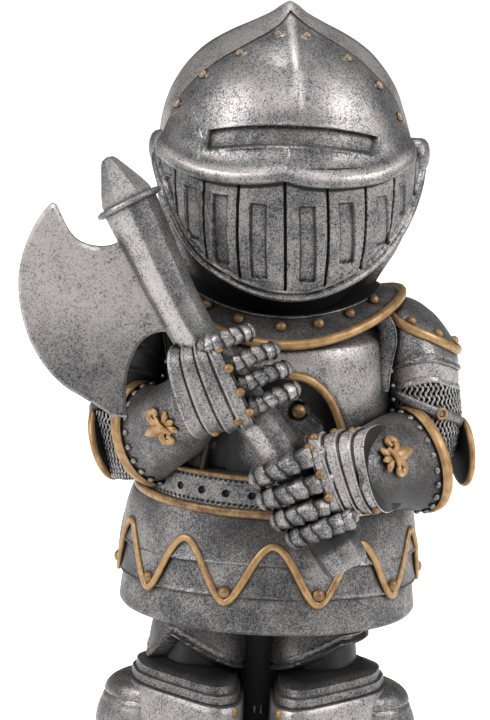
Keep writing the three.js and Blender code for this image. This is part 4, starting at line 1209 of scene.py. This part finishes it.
# Arms: pauldron, lames, mail sleeve, elbow dish and vambrace
# The sleeve's rows of height, distance out, place to the back, half width and half depth, then the
# lower edges of its plates and its strap by turn and height
SLEEVE_ROWS = ((73, 30.4, -5, 4.8, 6.4), (79, 31.2, -4.6, 6, 8), (86, 30.8, -3.4, 7.8, 9.6),
               (93, 29.4, -2.4, 8.5, 10.8), (97.4, 28.8, -2, 8.7, 11.8), (101.6, 28.2, -2, 8, 12.4),
               (105.5, 27, -1.4, 6.7, 11.4), (108.4, 25.5, -0.7, 5.2, 9.6),
               (110.2, 24.1, -0.2, 3.4, 6.8), (111, 23.2, 0, 1.6, 3.4))
CAP_EDGE = ((-180, 110), (-150, 109.4), (-123, 108.6), (-106, 107.4), (-86, 106.2), (-65, 105),
            (-38, 102.9), (-15, 100.9), (0, 100.2), (30, 100), (60, 101), (90, 103), (120, 105.4),
            (150, 108), (180, 110))
FIRST_LAME_EDGE = ((-180, 97), (-150, 97.4), (-123, 98.5), (-107, 99.6), (-88, 100.4), (-68, 100.6),
                   (-42, 99.3), (-8, 97.1), (20, 96.8), (60, 97.5), (90, 98.5), (120, 98), (150, 97.2),
                   (180, 97))
SECOND_LAME_EDGE = ((-180, 92.5), (-150, 93), (-110, 94.6), (-90, 95.7), (-66, 96), (-44, 94.7), (-5, 92.9),
                    (20, 92.6), (60, 93.2), (90, 94), (120, 93.6), (150, 93), (180, 92.5))
STRAP_LINE = ((-180, 95), (-113, 92.4), (-83, 90.5), (-53, 89), (-10, 86), (20, 84.4), (60, 84.8), (90, 87),
              (130, 91), (180, 95))
# The elbow dishes: middle, way out, and size against the left one
DISHES = {-1: ((-34.6, -4.4, 79.3), (-0.9, 0.3, -0.3), 0.95),
          1: ((38.7, -3.8, 79.8), (0.95, 0.28, 0.05), 0.82)}
ARM_BEARINGS = bearings_round(96)
FINGER_SCALES, FINGER_STEPS, FINGER_SIDES = 7, 112, 28
HAND_LAMES, HAND_STEPS, HAND_SQUARE = 4, 141, 0.75
LILY_SIZE = 1.12
RING_BEARING = -64
MAIL_ROW, MAIL_TURN, MAIL_LINK, MAIL_LEAN = 1.12, 7.5, 0.84, 42
MAIL_TOP, MAIL_END = 97, 72.5


def sleeve_at(way, turn, height, grow):
    """A place on the sleeve. Turn 0 is outwards, -90 is the front."""
    table = np.array(SLEEVE_ROWS)
    turn, height = np.broadcast_arrays(np.asarray(turn, float), np.asarray(height, float))
    x, y, wide, deep = np.moveaxis(flowing(table[:, 0], table[:, 1:], height), -1, 0)
    angle = np.radians(turn)
    across, ahead = np.cos(angle), np.sin(angle)
    place = np.stack([way * (x + (wide + grow) * across), y + (deep + grow) * ahead, height], -1)
    return place, unit(np.stack([way * across / wide, ahead / deep, 0 * angle], -1))


def arm_plate(form, way, top, edge_line, grow, wash_and_painted_light):
    """A plate round the arm from a height down to its own edge, with a rolled lip."""
    edge = read_line(edge_line, ARM_BEARINGS)
    high = top + (edge - top) * np.linspace(0, 1, 40)[:, None]
    above = high - edge
    lip = 0.25 * swell(above - 0.4, 0.45) - 0.2 * swell(above - 1.3, 0.4)
    body = sleeve_at(way, ARM_BEARINGS, high, grow + lip)[0]
    under = [sleeve_at(way, ARM_BEARINGS, edge + lift, grow - inward)[0][None]
             for lift, inward in ((-0.1, 0.15), (0.15, 0.9), (2, 3))]
    form.skin(np.concatenate([body, *under]), wash_and_painted_light=wash_and_painted_light)


def elbow_dish(form, way):
    """A shallow dish over the elbow with a gold rim."""
    middle, direction, size = DISHES[way]
    rim = [(0.1, -0.5), (8.3, -0.5), (8.75, -0.2), (8.9, 0.3), (8.75, 0.8), (8.3, 1.1), (7.7, 1.15),
           (7.2, 0.9), (6.8, 0.3), (0.1, 0.2)]
    body = [(0.1, -1.2), (5.6, -1.2), (7.4, -1), (8.2, -0.6), (8.25, 0.2), (0.1, 0.2)]
    dome = [(0.1, 0), (7, 0), (6.9, 0.6), (5.6, 1.2), (4.2, 1.7), (2.2, 2.2), (0.8, 2.4), (0.1, 2.45)]
    for profile, finish in ((rim, GOLD), (body, DARK), (dome, SILVER)):
        form.turned(np.array(profile) * size, middle, direction, finish, 56)


def sleeve(form, way):
    """The pauldron, two lames, the dark arm under the mail, its strap, and the elbow dish."""
    turn = ARM_BEARINGS
    # painted shade on the left arm's front lames, and a painted highlight on the right arm's second lame
    shade = 0.9 * soft_step(-turn - 12, 8) * soft_step(turn + 160, 12) if way < 0 else 0 * turn
    arm_plate(form, way, 110.9, CAP_EDGE, 0.45, 0.0)
    arm_plate(form, way, 108, FIRST_LAME_EDGE, 0.1, shade)
    arm_plate(form, way, 103, SECOND_LAME_EDGE, -0.25, shade if way < 0 else shade - 0.6)
    form.skin(sleeve_at(way, turn, np.linspace(98, MAIL_END, 30)[:, None], -1.5)[0], DARK)
    # painted shade on the front of the left strap
    strap_shade = (0.95 * soft_step(-turn - 22, 8) if way < 0 else 0 * turn)[:, None]
    form.trim(*sleeve_at(way, turn, read_line(STRAP_LINE, turn), -0.15), half_width=1.15, height=0.65,
              finish=SILVER, loop=True, wash_and_painted_light=strap_shade)
    if way > 0:
        form.hoop(*sleeve_at(way, RING_BEARING, read_line(STRAP_LINE, RING_BEARING), 0.5), 1.05, 0.36)
    elbow_dish(form, way)


def mail_spots(way):
    """Rows of links that lean left and right in turn, where the trunk doesn't hide them."""
    spots = []
    for row, height in enumerate(np.arange(MAIL_TOP, MAIL_END, -MAIL_ROW)):
        lean = math.radians(MAIL_LEAN if row % 2 else -MAIL_LEAN)
        for turn in np.arange(-180, 180, MAIL_TURN) + MAIL_TURN / 2 * (row % 2):
            place, out = sleeve_at(way, turn, height, -0.85)
            behind_blade = way < 0 and height > 86.5 and -150 < turn < -20
            under_lame = height > read_line(SECOND_LAME_EDGE, turn) + 0.6
            if behind_blade or under_lame or abs(place[0]) < 22.5:
                continue
            beside = np.array([-out[1], out[0], 0])
            leant = out * math.cos(lean) + beside * math.sin(lean)
            spots.append(spot(place, leant, MAIL_LINK, (0, 0, 1)))
    return spots


def moved(station, shift, scale):
    """A limb's station shifted along the limb and resized."""
    at, side, up = np.array(station, float)
    along = unit(np.cross(side, up))
    return at + along * shift, side * scale, up * scale


def cuff_ring(cuff, shift, scale, count=120):
    """Places and ways out round a limb's station, moved as above."""
    at, side, up = moved(cuff, shift, scale)
    angle = angles_round(count)[:, None]
    across, rise = side * np.cos(angle), up * np.sin(angle)
    return at + across + rise, unit(across / (side @ side) + rise / (up @ up))


def vambrace(form, trims, elbow, cuff, rest, underside_shade):
    """The forearm plate and its gold cuff. Gives the places of the row of small studs beside the cuff."""
    rings = limb([elbow, moved(cuff, -1.5, 0.93), moved(cuff, 1.4, 0.97), *rest], 60, 96)
    height = rings[..., 2]
    # painted shade all over the forearm plate, deeper on its underside; the ring under the cuff darker
    form.skin(rings, wash_and_painted_light=0.3 + underside_shade * soft_step(height.mean(1, keepdims=True) - height, 4))
    mouth = ((-0.9, 0.7), (-1.2, 0.98), (-0.9, 1.03), (0.9, 1.02), (1.2, 0.97), (1.0, 0.8))
    form.skin([cuff_ring(cuff, shift, scale)[0] for shift, scale in mouth], wash_and_painted_light=0.6)
    trims.trim(*cuff_ring(cuff, 0.0, 1.03), half_width=1.25, height=0.6, loop=True)
    places, outs = cuff_ring(cuff, 2.5, 0.99, 21)
    return [spot(place, out, 0.75) for place, out in zip(places + outs * 0.1, outs)]


def on_limb(stations, share, turn, square):
    """A place on a limb and the way out there."""
    at, side, up = limb_table(stations, [share]).reshape(3, 3)
    angle = math.radians(turn)
    across, rise = side * boxier(math.cos(angle), square), up * boxier(math.sin(angle), square)
    return at + across + rise, unit(across / (side @ side) + rise / (up @ up))


def scaled_finger(form, places, radius):
    """A finger of small overlapping scales, each lumpy from the mould, with a rounded tip."""
    share = np.linspace(0, 1, FINGER_STEPS)[:, None]
    turn = angles_round(FINGER_SIDES)[None]
    scale = share * FINGER_SCALES + 0.1 * np.sin(2 * turn + 5 * share) + 0.05 * np.sin(3 * turn - 9 * share)
    number, step = np.floor(scale), scale % 1
    lumps = 0.07 * np.sin(4 * turn + 2.4 * number) + 0.05 * np.sin(7 * turn - 1.7 * number)
    end = np.sqrt(np.clip(1 - ((share - 0.86) / 0.14).clip(0, 1) ** 2, 0.02, 1))
    knuckle = 1 + 0.12 * swell(share - 0.14, 0.1)
    thick = radius * (1.1 - 0.2 * step ** 0.9 + lumps * (1 - step)) * end * knuckle
    # painted shade a little all over and where each scale tucks under the next, a painted highlight on each
    # scale's middle, and random tone
    wash_and_painted_light = 0.12 + 0.75 * soft_step(step - 0.84, 0.14) - 0.5 * swell(step - 0.3, 0.3)
    wash_and_painted_light += 0.2 * np.sin(3 * scale)
    form.tube(along_line(places, FINGER_STEPS), thick, SILVER, FINGER_SIDES, 0.95, (0.05, -1, 0.25), wash_and_painted_light)


def gauntlet(form, wrist, knuckles, fingers, radius, rivets, painted_highlight):
    """Lames from wrist to knuckles, and fingers. Gives the rivets, from shares of the length and turns."""
    step = (np.linspace(0, 1, HAND_STEPS) * HAND_LAMES) % 1
    rings = limb([wrist, knuckles], HAND_STEPS, 96, HAND_SQUARE, 1.035 - 0.055 * step)
    lip = 0.3 * swell(step - 0.1, 0.12) - 0.25 * swell(step - 0.9, 0.1)
    rings = raised(rings, lip[:, None])
    # painted shade under each lame's edge and over the wrist's end, a painted highlight on the lips and, by
    # the hand's last number, on the lames
    wash_and_painted_light = 0.55 * soft_step(step - 0.88, 0.08) - painted_highlight * soft_step(0.84 - step, 0.1)
    wash_and_painted_light -= 0.25 * swell(step - 0.08, 0.2)
    wash_and_painted_light[0] = 1.0
    form.skin(rings, wash_and_painted_light=wash_and_painted_light[:, None])
    for places in fingers:
        scaled_finger(form, places, radius)
    return [spot(*on_limb([wrist, knuckles], share, turn, HAND_SQUARE), 0.98) for share, turn in rivets]


def lily(form, at, out, point):
    """A raised lily: a long leaf, two curled petals, three short ones at its foot and a tie."""
    ahead, up = unit(out), unit(point)
    up = unit(up - ahead * (up @ ahead))
    right = np.cross(up, ahead)

    def drawn(points, shares, thickness, lift=0.1):
        x, y = np.hsplit(np.array(points, float) * LILY_SIZE, 2)
        path = np.asarray(at) + right * x + up * y + ahead * (np.reshape(lift, (-1, 1)) - x * x / 20)
        radius = np.interp(np.linspace(0, 1, 22), shares, thickness) * LILY_SIZE * 1.45
        form.tube(along_line(path, 22), radius, GOLD, 10, 0.8, ahead)

    drawn([(0, -0.6), (0, 2.6), (0, 5.8)], (0, 0.25, 0.5, 0.8, 1), (0.5, 0.85, 0.95, 0.55, 0.08))
    petal = ((0.4, -0.4), (1.2, 1.6), (2.6, 2.2), (3.3, 1.1), (2.7, 0.2), (2.0, 0.7))
    for side in (-1, 1):
        drawn([(side * x, y) for x, y in petal], (0, 0.3, 0.8, 1), (0.4, 0.55, 0.5, 0.35))
        drawn([(side * 0.4, -0.6), (side * 1.3, -1.8), (side * 2.2, -2.5)], (0, 0.6, 1), (0.35, 0.5, 0.25))
    drawn([(0, -0.8), (0, -2.0), (0, -3.2)], (0, 0.6, 1), (0.35, 0.5, 0.15))
    drawn([(-1.8, -1.1), (0, -0.4), (1.8, 0.3)], (0, 0.5, 1), (0.35, 0.42, 0.35), (0.5, 1.06, 0.5))


# Forearms: the elbow's and the cuff's stations, those up to the wrist, and the painted shade on the
# underside
RIGHT_FOREARM = (
    ((30, -7, 80.5), (3.4, -4.2, 0), (-1.6, 0, 6)),
    ((29.1, -11, 79.7), (6, -7.4, 0), (-2.2, 0, 10.4)),
    [((23.5, -19, 80.2), (5, -6.4, 0), (-1, 0, 9.6)),
     ((18, -27.8, 80.2), (4.2, -5, 0), (-0.8, 0, 8.6)),
     ((14, -32.4, 80.3), (3, -4.4, 0), (-0.8, 0, 7.4))], 0.35)
LEFT_FOREARM = (
    ((-29.6, -6.5, 81), (3.4, 4.2, 0), (-1.6, 0, 6)),
    ((-25.8, -11, 82.6), (6.5, 7, 0), (-2.3, 0, 10.3)),
    [((-22.6, -19, 85.8), (4.4, 6, 0), (-2.8, 0, 8.4)),
     ((-17.8, -27.6, 91.4), (4.2, 5.2, 0), (-2.6, 0, 7.6)),
     ((-14.6, -32.4, 97), (2.8, 4, 0), (-2.4, 0, 6.4))], 0.0)
# Hands: the wrist's and the knuckles' stations
RIGHT_HAND = (((22.2, -28.9, 81.4), (-3.4, -6.5, 0), (-2.2, 0, 8.3)),
              ((9.4, -36.5, 81), (-0.6, -4.4, 0), (-3.6, 0, 8)))
LEFT_HAND = (((-18.1, -31.2, 96.2), (2.6, 5.6, 0), (-3.1, 0, 9)),
             ((-8.4, -35.6, 99.4), (-0.6, 4.6, 0), (-4.4, 0, 8.5)))
# Fingers: five places each from knuckle to tip
RIGHT_FINGERS = (
    ((10, -35.2, 85.8), (7.4, -38.6, 85.6), (3.3, -41, 84.4), (-1, -40, 82.1), (-5, -37, 79.3)),
    ((12, -35.2, 80.8), (9.3, -38.6, 80.3), (5.1, -41, 79.3), (0.8, -40, 77.4), (-3.4, -37, 75.3)),
    ((13, -35.2, 76.2), (10.5, -38.6, 75.4), (6.9, -41, 74.8), (3.4, -40, 73.2), (-0.2, -37, 71)),
    ((15.5, -35.2, 73.4), (13.7, -38.6, 72.2), (10.1, -41, 71.4), (6.5, -40, 69.8), (3, -37, 67.6)))
LEFT_FINGERS = (
    ((-15.5, -35.6, 106.4), (-13.7, -37, 107.4), (-11, -38.2, 108.7), (-8.2, -37.6, 109.6),
     (-5.4, -35.2, 110)),
    ((-12, -35.9, 102.4), (-8.6, -37.4, 103.8), (-5.8, -38.2, 105.3), (-3.1, -37.6, 106.3),
     (-0.3, -35.2, 106.7)),
    ((-9.4, -36.2, 98.6), (-6, -37.5, 100), (-3.3, -38.2, 101.5), (-0.5, -37.6, 102.5),
     (2.3, -35.2, 102.9)),
    ((-7, -36.2, 94), (-3, -37.5, 95.8), (-0.7, -38.2, 97.3), (1.7, -37.6, 98.3), (4.1, -35.2, 98.7)))
# Rivets on the hands: share of the way to the knuckles, and turn round the hand
RIGHT_RIVETS = ((0.87, 79), (0.62, 97), (0.33, 89), (0.96, 49), (0.94, 5), (0.95, -19), (0.94, -81),
                (0.59, -67), (0.18, -63))
LEFT_RIVETS = ((0.71, 109), (0.97, 123), (0.97, 160), (0.97, -177), (0.97, -150), (0.76, -136),
               (0.32, -112))

arms = Form()
mail = []
for way in (-1, 1):
    sleeve(arms, way)
    mail += mail_spots(way)
    turn = np.linspace(-160, 60, 90)
    place, out = sleeve_at(way, turn, read_line(CAP_EDGE, turn) + 0.8, 0.6)
    trims.trim(place, out, half_width=1.0, height=0.8, taper=True)
    gold_spots += [spot(*sleeve_at(way, turn, read_line(CAP_EDGE, turn) + 2.6, 0.55), 1.1)
                   for turn in (-112, -78, -40, 0)]
studs = vambrace(arms, trims, *RIGHT_FOREARM) + vambrace(arms, trims, *LEFT_FOREARM)
arms.piece("arms", FINISHES)

hands = Form()
# each hand's last number is how much painted highlight its lames carry
gold_spots += gauntlet(hands, *RIGHT_HAND, RIGHT_FINGERS, 2.15, RIGHT_RIVETS, 0.6)
gold_spots += gauntlet(hands, *LEFT_HAND, LEFT_FINGERS, 1.72, LEFT_RIVETS, 0.3)
hands.piece("gauntlets", FINISHES)

lily(trims, (23.9, -30.6, 84.3), (0.71, -0.56, 0.44), (0.55, 0.84, 0.05))
lily(trims, (-23, -31.2, 88.8), (-0.6, -0.73, -0.33), (-0.53, 0.73, -0.45))


# Axe: places down the shaft, and the blade's outline as curves seen from the front
SHAFT = ((-31.6, -25.5, 133.2), (-17.9, -30.5, 108.5), (-0.6, -33.2, 86.8), (13.6, -36.3, 65.4),
         (15.6, -36.8, 62.4))
BLADE = (((-33.2, 125.6), (-35, 123.6), (-40.4, 123.8), (-42.6, 126)),
         ((-42.6, 126), (-44.6, 128), (-45.2, 130.6), (-46.6, 132.3)),
         ((-47.3, 132.3), (-51, 128.6), (-53.4, 122), (-53.4, 116.5)),
         ((-53.4, 116.5), (-53, 107), (-48.6, 99.6), (-42.4, 95.6)),
         ((-42.4, 95.6), (-38.6, 93.6), (-35.6, 92.4), (-33.4, 90.5)),
         ((-30.3, 90.6), (-31.2, 96), (-31, 100.6), (-28.6, 105)),
         ((-28.6, 105), (-27, 107.6), (-24.6, 108.3), (-22.4, 108.2)),
         ((-16.4, 107.6), (-19.6, 113.6), (-22.8, 119.6), (-26, 125.6)))
BLADE_THICKNESS, BLADE_BEVEL = 2.8, 0.6
SHAFT_TOP, SHAFT_NEXT = np.array(SHAFT[:2])
SHAFT_WAY = unit(SHAFT_TOP - SHAFT_NEXT)


def bend(points, count):
    """Points on a curve from two ends and their two handles."""
    first, second, third, last = (np.array(point, float) for point in points)
    t = np.linspace(0, 1, count)[:, None]
    near, far = 3 * (1 - t) ** 2 * t, 3 * (1 - t) * t**2
    return (1 - t) ** 3 * first + near * second + far * third + t**3 * last


def shaft(form):
    """The eight-sided shaft, painted bright along one side as a highlight and darker round the rest as
    shade, with painted shade on the stub under the hand, and the disc and the point on its top.
    """
    share = np.linspace(0, 1, 60)[:, None]
    radius = np.interp(share, [0, 0.34, 0.62, 0.9, 0.93, 0.98, 1], [5.6, 4.5, 4.4, 4.5, 4.9, 4.9, 4.2])
    turn = np.degrees(angles_round(64))
    facet = 1.02 + 0.75 * (np.cos(np.pi / 8) / np.cos(np.radians(turn % 45 - 22.5)) - 1)
    # painted light round the shaft: a highlight along one side, fading towards the foot, and shade on the
    # rest
    shaft_light_round = ((0, 0.3), (30, 0.22), (48, -0.5), (60, -0.95), (84, -0.9), (94, -0.1), (128, 0.05),
                  (142, 0.2), (240, 0.3), (360, 0.3))
    wash_and_light = np.interp(turn, *np.array(shaft_light_round).T)
    upper = np.interp(share, [0, 0.45, 0.65, 0.8, 1], [1, 1, 0.9, 0.2, 0])
    # painted shade on the stub, darkest just under the hand, and a painted highlight on its end
    stub_light = 0.3 * soft_step(share - 0.88, 0.02) + 0.6 * swell(share - 0.925, 0.025)
    stub_light -= 0.6 * soft_step(share - 0.965, 0.015)
    wash_and_painted_light = np.maximum(wash_and_light, wash_and_light * upper) * (share < 0.88) + stub_light
    form.tube(along_line(SHAFT, 60), radius * facet, SILVER, 64, wash_and_painted_light=wash_and_painted_light)
    disc = ((0.1, -0.7), (6.2, -0.7), (6.9, -0.45), (7.1, 0), (6.9, 0.4), (6.2, 0.65), (4, 0.7),
            (0.1, 0.7))
    point = ((0.1, 0), (5.5, 0), (5.4, 1.6), (4.6, 3.6), (1.9, 9.1), (1.3, 9.9), (0.3, 10.2))
    form.turned(disc, SHAFT_TOP, SHAFT_WAY, SILVER, 40)
    form.turned(point, SHAFT_TOP, SHAFT_WAY, SILVER, 7)


def blade(form):
    """The crescent blade: a plate with a narrow bevel, in the shaft's own leaning plane."""
    outline = np.concatenate([bend(curve, 26)[:-1] for curve in BLADE])
    ahead = unit(np.roll(outline, -1, 0) - np.roll(outline, 1, 0))
    inward = np.column_stack([-ahead[:, 1], ahead[:, 0]])
    if np.sum(outline[:, 0] * np.roll(outline[:, 1], -1) - np.roll(outline[:, 0], -1) * outline[:, 1]) < 0:
        inward = -inward
    inner, flat_edge = (outline + inward * BLADE_BEVEL * reach for reach in (1, 1.7))
    half = BLADE_THICKNESS / 2
    fall = (SHAFT_TOP[1] - SHAFT_NEXT[1]) / math.hypot(*(SHAFT_TOP - SHAFT_NEXT)[[0, 2]])

    def lifted(flat, depth):
        across = (SHAFT_TOP[0] - flat[:, 0]) * SHAFT_WAY[0]
        down = (SHAFT_TOP[2] - flat[:, 1]) * SHAFT_WAY[2]
        return np.column_stack([flat[:, 0], depth + SHAFT_TOP[1] - fall * (across + down), flat[:, 1]])

    rings = [lifted(flat_edge, half), lifted(inner, half), lifted(outline, half - BLADE_BEVEL),
             lifted(outline, BLADE_BEVEL - half), lifted(inner, -half), lifted(flat_edge, -half)]
    points = np.concatenate(rings)
    here = np.arange(len(points)).reshape(len(rings), -1)
    after = np.roll(here, -1, axis=1)
    faces = np.stack([here[:-1], after[:-1], after[1:], here[1:]], axis=-1).reshape(-1, 4).tolist()
    for corners in tessellate_polygon([[Vector((x, z, 0)) for x, z in flat_edge]]):
        faces += [here[0, list(corners)].tolist(), here[-1, list(corners[::-1])].tolist()]
    # painted light: the blade lighter towards its top
    form.add(points, faces, SILVER, np.interp(points[:, 2], (97, 106, 114), (-0.15, -0.5, -0.95)))


axe = Form()
shaft(axe)
blade(axe)
axe.piece("axe", FINISHES, sharp=30)
trims.piece("gold_trims", FINISHES)
set_in_rows("gold_rivets", DOMES, 0.9, gold_spots, rivet_gold)
set_in_rows("visor_rivets", DOMES, 0.8, visor_spots, worn_gold)
set_in_rows("cuff_studs", DOMES, 0.8, studs, silver)
set_in_rows("mail_links", LINKS, 0.42, mail, silver)


# Plinth
def plinth():
    """A turned base with a stepped foot and a rounded top edge."""
    low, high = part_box("plinth")
    foot, height = high.x / PART, (high.z - low.z) / PART
    radius, foot_height, rounding = foot - PLINTH_STEP, PLINTH_FOOT, PLINTH_ROUND
    profile = [(0.1, 0), (foot - 0.3, 0), (foot, 0.3), (foot, foot_height - 0.8),
               (foot - 0.3, foot_height - 0.3), (foot - 0.8, foot_height),
               (radius + 0.2, foot_height + 0.3), (radius, foot_height + 0.8), (radius, height - rounding)]
    profile += [(radius - rounding * (1 - math.cos(turn)), height - rounding * (1 - math.sin(turn)))
                for turn in np.radians(np.linspace(15, 90, 6))]
    profile += [(radius * share, height) for share in (0.8, 0.5, 0.2, 0.01)]
    form = Form()
    form.turned(profile, (0, 0, (low.z - SOLES) / PART), (0, 0, 1), SILVER, 160)
    form.piece("round_plinth", (plinth_silver,), node="plinth")


plinth()
